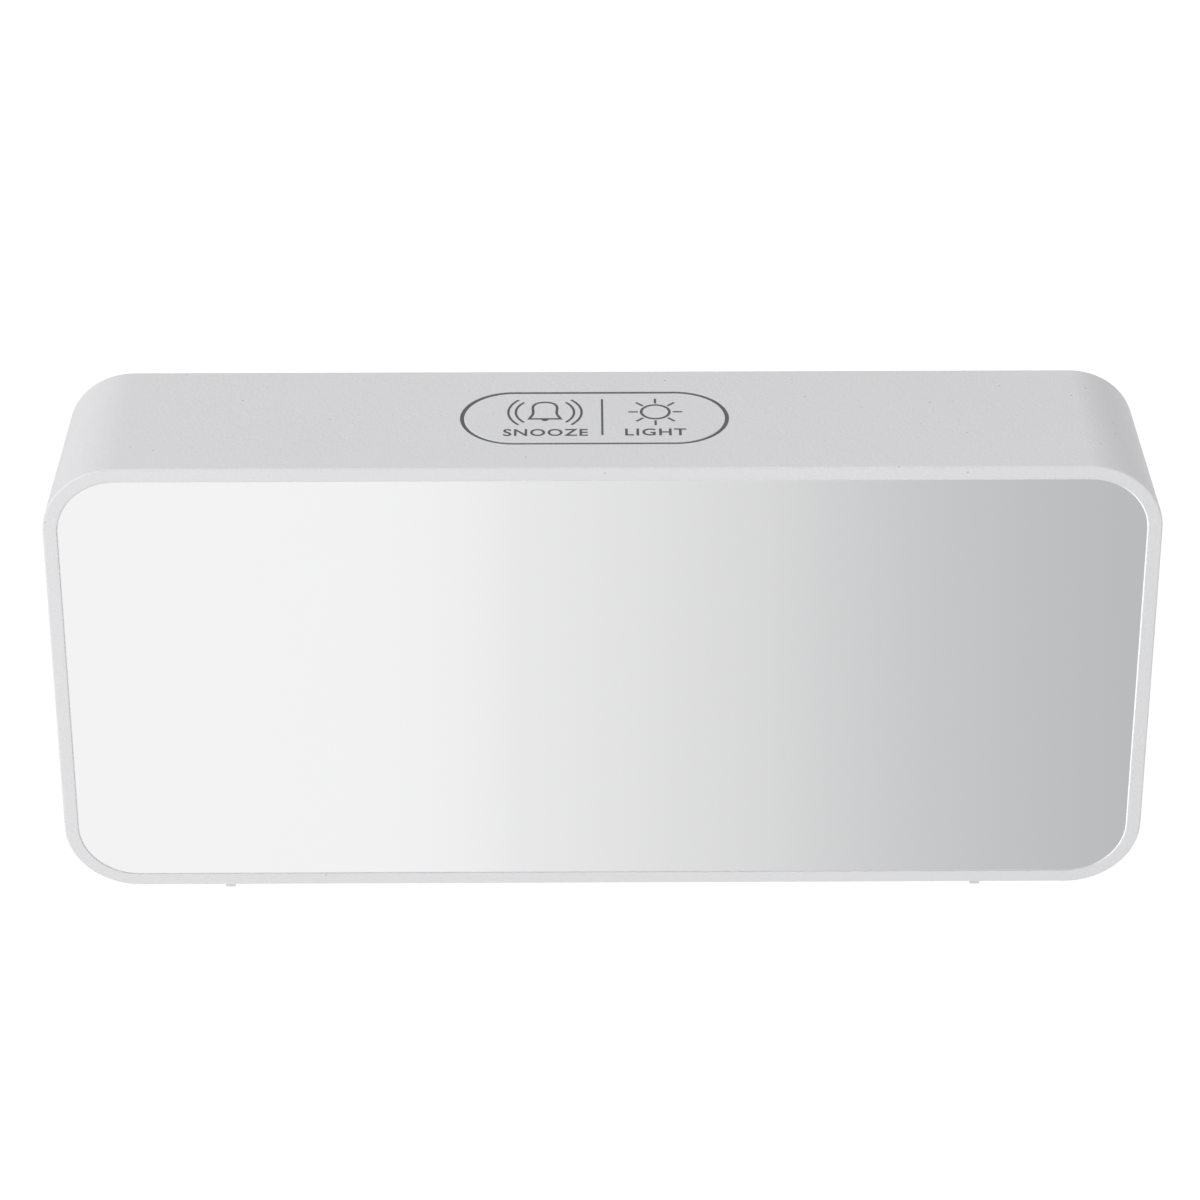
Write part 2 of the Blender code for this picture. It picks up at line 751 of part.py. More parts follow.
def tube(name, points, radius, material="metal"):
    """A six-sided tube along the points."""
    side = Vector((0, 0, 1)).cross(points[1] - points[0])
    if side.length < 1e-9:
        side = Vector((1, 0, 0))
    rings = []
    for i, point in enumerate(points):
        ahead = (points[min(i + 1, len(points) - 1)] - points[max(i - 1, 0)]).normalized()
        side = (side - ahead * side.dot(ahead)).normalized()
        up = ahead.cross(side)
        turns = [math.tau * k / 6 for k in range(6)]
        rings.append([point + radius * (math.cos(t) * side + math.sin(t) * up) for t in turns])
    return skin(name, rings, material)


def coil(name, side, height):
    """A tapering battery spring that grows out of its contact plate."""
    turns, per_turn, length = 3, 12, 5.9 * MM
    base = side * (BAY_LENGTH / 2 - 0.45 * MM)
    points = []
    for i in range(turns * per_turn + 1):
        share = i / (turns * per_turn)
        angle = math.tau * turns * share
        radius = (3.6 - 1.7 * share) * MM
        points.append(
            Vector(
                (
                    base - side * length * share,
                    CELL_Y + radius * math.cos(angle),
                    height + radius * math.sin(angle),
                )
            )
        )
    return tube(name, points, 0.35 * MM)


def contact(name, side, heights, spring_height=None, nub_height=None, tail_height=None):
    """A plate on a bay end, with a spring for a cell's negative end and a nub for its positive end."""
    outside = side * (BAY_LENGTH / 2 - 0.15 * MM)
    inside = side * (BAY_LENGTH / 2 - 0.6 * MM)
    low, high = sorted((outside, inside))
    reach = 4.4 * MM
    outline = rounded(
        2 * reach,
        heights[-1] - heights[0] + 2 * reach,
        1 * MM,
        CELL_Y,
        (heights[0] + heights[-1]) / 2,
        steps=2,
    )
    made = plate(name, outline, low, high, "metal", place=along_x)
    extras = []
    if spring_height is not None:
        extras.append(coil(f"{name}_coil", side, spring_height))
    if nub_height is not None:
        nub_end = side * (BAY_LENGTH / 2 - 1.5 * MM)
        span = sorted((inside + side * 0.2 * MM, nub_end))
        extras.append(
            rod(f"{name}_nub", (CELL_Y, nub_height), 2 * MM, *span, place=along_x, steps=12)
        )
    if tail_height is not None:
        span = sorted((inside, side * (BAY_LENGTH / 2 + 2.4 * MM)))
        extras.append(
            box(f"{name}_tail", span, about(CELL_Y, 0.2 * MM), about(tail_height, 1.1 * MM))
        )
    combine(made, "UNION", extras)


def battery_contacts():
    low, mid, high = cell_heights()
    contact("contact_negative", -1, [low], spring_height=low, tail_height=low)
    contact("contact_bridge_left", -1, [mid, high], spring_height=high, nub_height=mid)
    contact("contact_bridge_right", 1, [low, mid], spring_height=mid, nub_height=low)
    contact("contact_positive", 1, [high], nub_height=high, tail_height=high)


# ---- wires and ribbon cables ----
def smooth(points, steps=5):
    """A smooth curve through the points."""
    dense = []
    padded = [points[0], *points, points[-1]]
    for a, b, c, d in zip(padded, padded[1:], padded[2:], padded[3:]):
        for i in range(steps):
            t = i / steps
            bend = (2 * a - 5 * b + 4 * c - d) * t**2 + (3 * b - a - 3 * c + d) * t**3
            dense.append((2 * b + (c - a) * t + bend) / 2)
    return [*dense, points[-1]]


def battery_wires():
    low, _, high = cell_heights()
    for name, material, side, height in (
        ("wire_negative", "chip", -1, low),
        ("wire_positive", "red", 1, high),
    ):
        start = side * (BAY_LENGTH / 2 + 2.6 * MM)
        route = [
            Vector((start, CELL_Y, height)),
            Vector((start + side * 2 * MM, CELL_Y, height)),
            Vector((start + side * 5 * MM, CELL_Y - 3 * MM, height - 2 * MM)),
            Vector((start + side * 5 * MM, BOARD_BACK + 3 * MM, height - 5 * MM)),
            Vector((start + side * 5 * MM, BOARD_BACK + 0.2 * MM, height - 5 * MM)),
        ]
        tube(name, smooth(route), 0.55 * MM, material)


def ribbon(name, centre_line, x, thickness=0.6 * MM):
    """A flat cable: a line of (y, z) points given thickness and the width x."""
    one, other = [], []
    for i, (y, z) in enumerate(centre_line):
        before = centre_line[max(i - 1, 0)]
        after = centre_line[min(i + 1, len(centre_line) - 1)]
        across = Vector((-(after[1] - before[1]), after[0] - before[0])).normalized()
        one.append((y + across.x * thickness / 2, z + across.y * thickness / 2))
        other.append((y - across.x * thickness / 2, z - across.y * thickness / 2))
    plate(name, one + other[::-1], x[0], x[1], "film", place=along_x)


def s_bend(start, end, steps=10):
    """Points from start to end that leave and arrive along y."""
    (y0, z0), (y1, z1) = start, end
    shares = [i / steps for i in range(steps + 1)]
    return [(y0 + (y1 - y0) * t, z0 + (z1 - z0) * (3 * t**2 - 2 * t**3)) for t in shares]


def ribbons():
    ribbon(
        "ribbon_rear_board",
        s_bend((BOARD_BACK + SEAT, 53 * MM), (REAR_BOARD_FRONT - SEAT, 59 * MM)),
        (30 * MM, 38 * MM),
    )
    ribbon(
        "ribbon_key_board",
        s_bend((BOARD_BACK + SEAT, 60.5 * MM), (3.4 * MM, 65.7 * MM))
        + [(4.1 * MM, 66.4 * MM), (4.2 * MM, 67.1 * MM), (4.2 * MM, KEY_BOARD_LOW - SEAT)],
        (-6 * MM, 0 * MM),
    )


# ---- switches, rear buttons and their board ----
def tact_switch(body_name, plunger_name, place_at, base, height, travel, place, direction=1):
    """A square push switch on a board, and the round plunger that moves in it."""
    u, v = place_at
    body = plate(
        body_name,
        rectangle(about(u, 3 * MM), about(v, 3 * MM)),
        *sorted((base, base + direction * height)),
        "chip",
        place=place,
    )
    well_floor = base + direction * (height - travel - 1.2 * MM)
    well = rod(
        f"{body_name}_well",
        place_at,
        1.85 * MM,
        well_floor,
        base + direction * (height + 1 * MM),
        place=place,
    )
    combine(body, "DIFFERENCE", [well])
    plunger_low = well_floor + direction * (travel + 0.15 * MM)
    plunger_high = base + direction * (height + 0.9 * MM)
    return rod(plunger_name, place_at, 1.7 * MM, plunger_low, plunger_high, "key_abs", place)


def rear_board():
    pilots = [circle(x, ROW_HEIGHT, BOARD_HOLE_RADIUS, 10) for x in REAR_BOARD_SCREW_X]
    plate(
        "rear_board",
        rectangle(REAR_BOARD_X, about(ROW_HEIGHT, 5.3 * MM)),
        REAR_BOARD_FRONT,
        REAR_BOARD_BACK,
        "board",
        holes=pilots,
    )
    base, height = REAR_BOARD_BACK + SEAT, 3.5 * MM
    flange_back = COVER_INSIDE - 0.2 * MM
    for label, x in BUTTONS.items():
        centre = (x, ROW_HEIGHT)
        plunger = tact_switch(
            f"switch_{label}", f"plunger_{label}", centre, base, height, BUTTON_TRAVEL, along_y
        )
        edge = 0.4 * MM
        profile = [
            (4.0 * MM, flange_back - 1 * MM),
            (4.0 * MM, flange_back),
            (3.0 * MM, flange_back),
            (3.0 * MM, BUTTON_FACE - edge),
            (3.0 * MM - edge, BUTTON_FACE),
        ]
        rings = [at_depth(stadium(3.2 * MM, radius, *centre, 8), y) for radius, y in profile]
        cap = skin(f"button_{label}", rings, "key_abs")
        stem = rod(
            f"button_stem_{label}",
            centre,
            1.4 * MM,
            base + height + 0.9 * MM + SEAT,
            flange_back - 0.5 * MM,
        )
        combine(cap, "UNION", [stem])
        joint_group(f"button_{label}_slide", (x, BUTTON_FACE, ROW_HEIGHT), [cap, plunger])


def usb_socket():
    base = REAR_BOARD_BACK + SEAT
    centre = (USB_X, ROW_HEIGHT)
    shell = plate(
        "usb_socket",
        rounded(8.0 * MM, 2.9 * MM, 0.7 * MM, *centre, steps=3),
        base,
        USB_MOUTH,
        "metal",
    )
    mouth = plate(
        "usb_mouth",
        rounded(7.1 * MM, 2.0 * MM, 0.4 * MM, *centre, steps=3),
        base + 2 * MM,
        USB_MOUTH + 1 * MM,
    )
    combine(shell, "DIFFERENCE", [mouth])
    box(
        "usb_tongue",
        about(USB_X, 2.2 * MM),
        (base + 2 * MM + SEAT, USB_MOUTH - 1 * MM),
        about(ROW_HEIGHT + 0.2 * MM, 0.35 * MM),
        "chip",
    )


# ---- top key ----
def below_key_surface(radius, drop):
    """The key's outline with the given end radius, at a drop below the sloping top of the case."""
    outline = stadium(KEY_STRAIGHT, radius, KEY_X, KEY_Y)
    return [Vector((u, v, top_of_case(v) - drop)) for u, v in outline]


def key_seal():
    """The soft ring that closes the gap round the key, just under the surface."""
    half = KEY_GAP / 2 - SEAL_CLEARANCE
    inside, outside = KEY_MID_RADIUS - half, KEY_MID_RADIUS + half
    section = [
        below_key_surface(outside, SEAL_DEPTH),
        below_key_surface(outside, SEAL_DROP),
        below_key_surface(inside, SEAL_DROP),
        below_key_surface(inside, SEAL_DEPTH),
    ]
    skin("key_seal", section, "seal", joined=True)


def snooze_light_key():
    cap_radius = KEY_MID_RADIUS - KEY_GAP / 2
    skirt_top = KEY_SKIRT_LOW + 0.8 * MM
    edge = 0.15 * MM

    def level(radius, z):
        return [Vector((u, v, z)) for u, v in stadium(KEY_STRAIGHT, radius, KEY_X, KEY_Y)]

    inner_radius = cap_radius - 1.3 * MM
    flange_radius = KEY_MID_RADIUS + 1.4 * MM
    cap = skin(
        "snooze_light_key",
        [
            level(inner_radius, KEY_CEILING),
            level(inner_radius, KEY_SKIRT_LOW),
            level(flange_radius, KEY_SKIRT_LOW),
            level(flange_radius, skirt_top),
            level(cap_radius, skirt_top),
            below_key_surface(cap_radius, edge),
            below_key_surface(cap_radius - edge, 0.0),
        ],
        "key_abs",
    )
    pads, plungers = [], []
    for label, side in (("left", -1), ("right", 1)):
        centre = (KEY_X + side * KEY_SWITCH_X, KEY_Y)
        plunger = tact_switch(
            f"key_switch_{label}",
            f"key_plunger_{label}",
            centre,
            KEY_BOARD_HIGH + SEAT,
            2.4 * MM,
            KEY_TRAVEL,
            along_z,
        )
        plungers.append(plunger)
        plunger_top = KEY_BOARD_HIGH + SEAT + 3.3 * MM
        pads.append(
            rod(
                f"key_pad_{label}",
                centre,
                1.5 * MM,
                plunger_top + SEAT,
                KEY_CEILING + 0.5 * MM,
                place=along_z,
            )
        )
    combine(cap, "UNION", pads)
    joint_group("snooze_light_key_slide", (KEY_X, KEY_Y, top_of_case(KEY_Y)), [cap, *plungers])


def key_board():
    pilots = [circle(KEY_X + side * KEY_SCREW_X, KEY_SCREW_Y, 1.1 * MM, 10) for side in (-1, 1)]
    plate(
        "key_board",
        rectangle(about(KEY_X, 30.5 * MM), (-5.5 * MM, 6.5 * MM)),
        KEY_BOARD_LOW,
        KEY_BOARD_HIGH,
        "board",
        holes=pilots,
        place=along_z,
    )


def main():
    clear_scene()
    front_housing()
    feet()
    display_stack()
    main_board()
    rear_cover()
    battery_door()
    battery_contacts()
    battery_wires()
    ribbons()
    rear_board()
    usb_socket()
    snooze_light_key()
    key_seal()
    key_board()
    screws()


main()
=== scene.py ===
"""Looks for the mirror-fronted alarm clock: fine shells, printing, materials, light and camera.

Everything is in the frame's own units: metres, +Z up, the mirror facing -Y.
"""

import math
from functools import partial

import bmesh
import bpy
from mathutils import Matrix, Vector
from mathutils.geometry import delaunay_2d_cdt


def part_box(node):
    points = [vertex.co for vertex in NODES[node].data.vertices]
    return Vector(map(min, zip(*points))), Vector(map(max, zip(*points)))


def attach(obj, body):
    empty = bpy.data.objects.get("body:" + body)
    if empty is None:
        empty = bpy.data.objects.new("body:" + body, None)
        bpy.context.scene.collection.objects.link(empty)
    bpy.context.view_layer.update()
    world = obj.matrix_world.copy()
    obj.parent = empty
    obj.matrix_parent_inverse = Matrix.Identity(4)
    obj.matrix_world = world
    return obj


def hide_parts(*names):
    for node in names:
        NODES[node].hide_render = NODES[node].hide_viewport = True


MM = 0.001


def mm(*values):
    """Millimetres in the frame's unit."""
    return tuple(value * MM for value in values)


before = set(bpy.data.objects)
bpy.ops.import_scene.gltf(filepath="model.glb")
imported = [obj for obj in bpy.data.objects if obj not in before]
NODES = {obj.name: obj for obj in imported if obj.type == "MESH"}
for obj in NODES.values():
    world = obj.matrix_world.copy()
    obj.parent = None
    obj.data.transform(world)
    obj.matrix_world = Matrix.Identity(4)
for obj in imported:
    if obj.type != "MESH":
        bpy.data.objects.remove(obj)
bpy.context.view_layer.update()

# ---- places read from the frame ----
case_low, case_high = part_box("front_housing")
FRONT, BACK = case_low.y, case_high.y
DEPTH = BACK - FRONT
MIDDLE = (case_low.z + case_high.z) / 2
lens_low, lens_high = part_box("mirror_lens")
_, cover_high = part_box("rear_cover")
REAR_FACE = cover_high.y
door_low, door_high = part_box("battery_door")
key_low, key_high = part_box("snooze_light_key")
KEY_X, KEY_Y = (key_low + key_high).xy / 2
_, board_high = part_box("main_board")
_, reflector_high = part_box("segment_reflector")
usb_low, usb_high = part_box("usb_socket")
USB_X, ROW_HEIGHT = (usb_low + usb_high).xz / 2
key_board_low, key_board_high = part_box("key_board")
rear_board_low, rear_board_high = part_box("rear_board")
buzzer_low, buzzer_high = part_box("buzzer")

# ---- sizes of the shells ----
CORNER_RADIUS, DRAFT = mm(10.95, 1.8)
FRAME_RING, WALL = mm(2.08, 2.0)
FRONT_EDGE, REAR_EDGE, LIP = mm(0.3, 0.8, 0.07)
LENS_GAP, LENS_BEVEL, LENS_FORWARD = mm(0.004, 0.16, 0.1)
CORNER_STEPS, SHARP_ANGLE = 20, 35
PANEL_FRONT = FRONT + 2.8 * MM
PANEL_BACK = PANEL_FRONT + 1.7 * MM
WINDOW = mm(112, 42)
SEAT, FOOT_X = mm(0.1, 56.5)

# ---- top key ----
KEY_STRAIGHT, KEY_MID_RADIUS = mm(11.75, 7.58)
KEY_GAP, KEY_FLANGE = mm(0.55, 1.4)
KEY_SCREW_X, KEY_SCREW_Y = mm(27, 1.6)
PROUD, INK_RISE, INK_DEPTH = mm(0.01, 0.025, 0.05)
STROKE, THIN_STROKE = mm(0.38, 0.34)

# ---- back ----
COVER_THICKNESS, COVER_GAP = mm(2.0, 0.25)
COVER_INSIDE = REAR_FACE - COVER_THICKNESS
CASE_SCREWS = [(x * 71 * MM, MIDDLE + z * 27 * MM) for z in (-1, 1) for x in (-1, 1)]
BOARD_SCREWS = [(x * 63.7 * MM, MIDDLE + z * 24 * MM) for z in (-1, 1) for x in (-1, 1)]
REAR_BOARD_SCREWS = [(-40.5 * MM, ROW_HEIGHT), (60.5 * MM, ROW_HEIGHT)]
KEY_SCREWS = [(KEY_X + side * KEY_SCREW_X, KEY_SCREW_Y) for side in (-1, 1)]
CASE_BOSS_BACK, CASE_SCREW_SEAT = mm(4.1, 6.1)
BUTTONS = {"mode": -30 * MM, "set": -12 * MM, "down": 6 * MM, "up": 24 * MM}
BAY_MIDDLE = (door_low.z + 1.3 * MM + door_high.z) / 2
BAY = mm(51.2, 34.4)
BAY_WALL, BAY_FLOOR, CELL_PITCH = mm(1.2, 2.3, 11.3)
CELL_Y = BAY_FLOOR + 5.3 * MM
DOOR = mm(54.6, 38.0)
DOOR_GAP, DOOR_THICKNESS = mm(0.3, 1.15)
DOOR_INSIDE = REAR_FACE - DOOR_THICKNESS
DOOR_BOTTOM = BAY_MIDDLE - DOOR[1] / 2
DOOR_TOP = BAY_MIDDLE + DOOR[1] / 2
LEDGE_BACK = DOOR_INSIDE - 0.15 * MM
LEDGE_FRONT = LEDGE_BACK - 1.4 * MM
TAB_X = 15 * MM

# ---- materials ----
SPECK_SPACING, SPECK_RADIUS = mm(3.5, 0.2)
SPECK_GREY = (0.36, 0.35, 0.34)
MASK_GREEN = (0.010, 0.105, 0.045)
LAMP_BACK = board_high.y - 1.65 * MM
# colour, roughness, grain's scale and detail, its relief in mm, patches' scale and detail, their wander
GRAINED = {
    "grey_ink": ((0.105, 0.105, 0.11), 0.55, (7000, 2), 0.003, (2600, 4), 0.12),
    # painted shade: the dark grey of the ring in the key's gap stands in for the gap's shade
    "seal_painted_gap_shade": ((0.12, 0.12, 0.125), 0.6, (5000, 3), 0.005, (900, 2), 0.06),
    "pale_rubber": ((0.72, 0.72, 0.72), 0.6, (3200, 5), 0.015, (500, 2), 0.05),
    "diffuser_film": ((0.82, 0.82, 0.82), 0.6, (5000, 2), 0.003, (900, 2), 0.0),
    "reflector_white": ((0.86, 0.86, 0.85), 0.3, (2500, 2), 0.003, (60, 2), 0.01),
    "black_moulding": ((0.018, 0.018, 0.019), 0.5, (6500, 4), 0.008, (1800, 2), 0.2),
    "natural_nylon": ((0.72, 0.68, 0.60), 0.45, (3000, 2), 0.004, (400, 2), 0.03),
}

# ---- stage ----
STAGE_HALF = 4.0
LIGHT_AIM = Vector((0, 0, 0.04))
CARD_REACH = 0.96
CARD_BEHIND = (0.55, 1.75)
CARD_STOPS = (0.0, 0.26, 0.34, 0.42, 0.66, 0.8, 1.0)
CARD_TONES = (0.937, 0.937, 0.917, 0.871, 0.703, 0.607, 0.5)

# ---- camera ----
CAMERA_ELEVATION = 34.64
CAMERA_AZIMUTH = 0.36
CAMERA_DISTANCE = 752.3 * MM
CAMERA_ASIDE = Vector((-0.41 * MM, 12.05 * MM))
CAMERA_LENS = 153.0


# ======== outlines: lists of (u, v) ========
def arc(cx, cy, radius, start, end, steps):
    turns = [math.radians(start + (end - start) * i / steps) for i in range(steps + 1)]
    return [(cx + radius * math.cos(t), cy + radius * math.sin(t)) for t in turns]


def circle(cx, cy, radius, steps=32):
    return arc(cx, cy, radius, 0, 360 - 360 / steps, steps - 1)


def rounded(width, height, radius, cx, cy, steps=CORNER_STEPS):
    x, y = width / 2 - radius, height / 2 - radius
    corners = ((x, y, 0), (-x, y, 90), (-x, -y, 180), (x, -y, 270))
    return [
        point
        for dx, dy, start in corners
        for point in arc(cx + dx, cy + dy, radius, start, start + 90, steps)
    ]


def stadium(half_straight, radius, cx, cy, steps=36):
    right = arc(cx + half_straight, cy, radius, -90, 90, steps)
    return right + arc(cx - half_straight, cy, radius, 90, 270, steps)


def rectangle(x, y):
    return [(x[0], y[0]), (x[1], y[0]), (x[1], y[1]), (x[0], y[1])]


def resizing(width, height, radius, cx, cy, steps, way=1):
    """An outline function: a rounded rectangle that grows, or shrinks with way -1, by its argument."""
    return lambda g: rounded(width + 2 * way * g, height + 2 * way * g, radius + way * g, cx, cy, steps)


def shifted(points, cx, cy):
    """Points in mm about (cx, cy)."""
    return [(cx + u * MM, cy + v * MM) for u, v in points]


def about(middle, half):
    return (middle - half, middle + half)


def along_y(u, v, t):
    return Vector((u, t, v))


def along_z(u, v, t):
    return Vector((u, v, t))


def along_x(u, v, t):
    return Vector((t, u, v))


def quarter(radius, steps=4):
    """A quarter round's points as (distance still to go in, distance along), from its start to its end."""
    turns = [math.pi / 2 * i / steps for i in range(steps + 1)]
    return [(radius * (1 - math.sin(t)), radius * (1 - math.cos(t))) for t in turns]


def flared(flare):
    """A flaring edge's points as (distance out, depth under the surface)."""
    return [(out, depth - PROUD) for depth, out in quarter(flare, 3)]


# ======== solids ========
def placed(name, data):
    obj = bpy.data.objects.new(name, data)
    bpy.context.scene.collection.objects.link(obj)
    return obj


def to_object(name, bm, sharp=SHARP_ANGLE):
    bmesh.ops.recalc_face_normals(bm, faces=bm.faces)
    mesh = bpy.data.meshes.new(name)
    bm.to_mesh(mesh)
    bm.free()
    smooth(mesh, sharp)
    return placed(name, mesh)


def evaluated(obj):
    """An object's mesh as its modifiers, or its curve, make it."""
    bpy.context.view_layer.update()
    graph = bpy.context.evaluated_depsgraph_get()
    return bpy.data.meshes.new_from_object(obj.evaluated_get(graph))


def smooth(mesh, sharp):
    mesh.shade_smooth()
    mesh.set_sharp_from_angle(angle=math.radians(sharp))


def walled(bm, first, second):
    """Four-sided faces between two loops of vertices."""
    for i in range(len(first)):
        j = (i + 1) % len(first)
        bm.faces.new((first[i], first[j], second[j], second[i]))


def skin(name, rings, joined=False, sharp=SHARP_ANGLE):
    """A solid through rings of points, capped at its ends or, if joined, closed round on itself."""
    bm = bmesh.new()
    rows = [[bm.verts.new(point) for point in points] for points in rings]
    for first, second in zip(rows, rows[1:]):
        walled(bm, first, second)
    if joined:
        walled(bm, rows[-1], rows[0])
    else:
        bm.faces.new(rows[0])
        bm.faces.new(rows[-1])
    return to_object(name, bm, sharp)


def within(point, loop):
    crossings = 0
    for (x0, y0), (x1, y1) in zip(loop, [*loop[1:], loop[0]]):
        if (y0 > point[1]) != (y1 > point[1]):
            crossings += point[0] < x0 + (point[1] - y0) * (x1 - x0) / (y1 - y0)
    return crossings % 2 == 1


def fill(outer, holes):
    """Triangles that cover the outline but not its holes, numbering the points in order."""
    points, edges = [], []
    for loop in (outer, *holes):
        first, count = len(points), len(loop)
        edges += [(first + i, first + (i + 1) % count) for i in range(count)]
        points += [Vector(point) / MM for point in loop]
    found = delaunay_2d_cdt(points, edges, [], 1, 1e-6)
    triangles = []
    for face in found[2]:
        corners = [found[3][k][0] for k in face]
        centre = sum((points[k] for k in corners), Vector((0, 0))) / 3 * MM
        if within(centre, outer) and not any(within(centre, hole) for hole in holes):
            triangles.append(corners)
    return triangles


def plate(outer, low, high, holes=(), place=along_y):
    """An outline with holes, raised from low to high. It ends up in a piece or cuts one."""
    loops = [list(outer), *[list(hole) for hole in holes]]
    bm = bmesh.new()
    ends = []
    for t in (low, high):
        ends.append([[bm.verts.new(place(u, v, t)) for u, v in loop] for loop in loops])
    for first, second in zip(*ends):
        walled(bm, first, second)
    triangles = fill(loops[0], loops[1:])
    for end in ends:
        verts = [vert for loop in end for vert in loop]
        for triangle in triangles:
            bm.faces.new([verts[k] for k in triangle])
    return to_object("part", bm)


def box(x, y, z):
    return plate(rectangle(x, y), z[0], z[1], place=along_z)


def rod(centre, radius, low, high, place=along_y, steps=32):
    return plate(circle(*centre, radius, steps), low, high, place=place)


def cushioned(name, outline_at, low, high, edge, place=along_y, both=False):
    """A prism whose far end's edge, or both ends' edges, are rounded. outline_at(d) is drawn in by d."""
    steps = 3
    rings = [(d, low + t) for d, t in quarter(edge, steps)] if both else [(0.0, low)]
    rings += [(d, high - t) for d, t in reversed(quarter(edge, steps))]
    return skin(name, [[place(u, v, t) for u, v in outline_at(d)] for d, t in rings])


def turned(name, centre, profile, place=along_y, steps=32):
    """A solid turned round centre from (radius, height) pairs."""
    return skin(name, [[place(u, v, t) for u, v in circle(*centre, r, steps)] for r, t in profile])


def tube(name, points, radius, sides):
    """A round tube along the points."""
    side = Vector((0, 0, 1)).cross(points[1] - points[0])
    turns = [math.tau * k / sides for k in range(sides)]
    rings = []
    for i, point in enumerate(points):
        ahead = (points[min(i + 1, len(points) - 1)] - points[max(i - 1, 0)]).normalized()
        side = (side - ahead * side.dot(ahead)).normalized()
        up = ahead.cross(side)
        rings.append([point + radius * (math.cos(t) * side + math.sin(t) * up) for t in turns])
    return skin(name, rings, sharp=60)


def gathered(name, parts):
    """Several shapes in one mesh."""
    bm = bmesh.new()
    for part in parts:
        bm.from_mesh(part.data)
        bpy.data.objects.remove(part)
    return to_object(name, bm)


def carve(target, tools, operation="DIFFERENCE"):
    """Cuts the tools from the target, or joins them to it, for good. The tools may overlap."""
    tool = gathered("tool", tools)
    modifier = target.modifiers.new("carve", "BOOLEAN")
    modifier.operation = operation
    modifier.object = tool
    modifier.use_self = True
    result = evaluated(target)
    target.modifiers.clear()
    target.data = result
    bpy.data.objects.remove(tool)
    smooth(result, SHARP_ANGLE)


def flared_cutter(outline_grown, deep, flare, face=REAR_FACE):
    """A cutter that goes from deep out through a face, and rounds the edge that it leaves there."""
    rings = [(0.0, deep), (0.0, face - flare)]
    rings += [(grow, face - drop) for grow, drop in flared(flare)[1:]]
    rings.append((flare, face + 1 * MM))
    return skin("part", [at_depth(outline_grown(g), t) for g, t in rings])


def keep_flats_flat(obj):
    """Lets the large faces set the normals, so that flats stay flat beside their rounded edges."""
    modifier = obj.modifiers.new("weighted_normals", "WEIGHTED_NORMAL")
    modifier.keep_sharp = True
    modifier.weight = 80


def finished(obj, material, replaced=(), body="case"):
    """Gives a piece its material and its body, and says which CAD nodes it stands for."""
    obj.data.materials.clear()
    for each in material if isinstance(material, list) else [material]:
        obj.data.materials.append(each)
    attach(obj, body)
    if replaced:
        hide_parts(*replaced)


# ======== materials ========
class Shader:
    """A Principled material with its node tree, and short ways to add texture nodes to it."""

    def __init__(self, name, colour, roughness, metallic=0.0, **sockets):
        self.material = bpy.data.materials.new(name)
        self.material.use_nodes = True
        self.tree = self.material.node_tree
        self.bsdf = self.tree.nodes["Principled BSDF"]
        self.colour = colour
        sockets |= {"Base_Color": (*colour, 1), "Roughness": roughness, "Metallic": metallic}
        for socket, value in sockets.items():
            self.drive(socket, value)
        self.place = self.node("ShaderNodeTexCoord").outputs["Object"]

    def node(self, kind, **inputs):
        made = self.tree.nodes.new(kind)
        for socket, value in inputs.items():
            self.feed(made.inputs[socket.replace("_", " ")], value)
        return made

    def feed(self, socket, value):
        if isinstance(value, bpy.types.NodeSocket):
            self.tree.links.new(value, socket)
        else:
            socket.default_value = value

    def drive(self, socket, value):
        """Sets one of the shader's own sockets, or links it."""
        self.feed(self.bsdf.inputs[socket.replace("_", " ")], value)

    def stretched(self, scale):
        return self.node("ShaderNodeMapping", Vector=self.place, Scale=scale).outputs["Vector"]

    def along(self, axis):
        return self.node("ShaderNodeSeparateXYZ", Vector=self.place).outputs[axis]

    def noise(self, scale, detail=2, vector=None):
        made = self.node("ShaderNodeTexNoise", Vector=vector or self.place, Scale=scale, Detail=detail)
        return made.outputs["Fac"]

    def cells(self, scale, vector=None):
        """The distance to the nearest of many scattered points, in parts of their spacing."""
        made = self.node("ShaderNodeTexVoronoi", Vector=vector or self.place, Scale=scale)
        return made.outputs["Distance"]

    def ranged(self, value, low, high, start=0.0, end=1.0):
        made = self.node("ShaderNodeMapRange", Value=value, From_Min=start, From_Max=end)
        self.feed(made.inputs["To Min"], low)
        self.feed(made.inputs["To Max"], high)
        return made.outputs["Result"]

    def maths(self, operation, first, second=0.0):
        made = self.node("ShaderNodeMath")
        made.operation = operation
        self.feed(made.inputs[0], first)
        self.feed(made.inputs[1], second)
        return made.outputs[0]

    def mixed(self, share, first, second):
        made = self.node("ShaderNodeMix")
        made.data_type = "RGBA"
        self.feed(made.inputs[0], share)
        for socket, colour in ((made.inputs[6], first), (made.inputs[7], second)):
            self.feed(socket, (*colour, 1) if isinstance(colour, tuple) else colour)
        return made.outputs[2]

    def bump(self, height, relief):
        """A bump whose full height is relief mm."""
        made = self.node("ShaderNodeBump", Height=height, Distance=relief * MM, Strength=1.0)
        self.drive("Normal", made.outputs["Normal"])

    def vary_colour(self, share, by):
        """The colour wanders by a small fraction, as moulded plastic does."""
        dark = tuple(c * (1 - by) for c in self.colour)
        light = tuple(min(1.0, c * (1 + by)) for c in self.colour)
        self.drive("Base Color", self.mixed(share, dark, light))

    def vary_roughness(self, share, low, high):
        self.drive("Roughness", self.ranged(share, low, high))


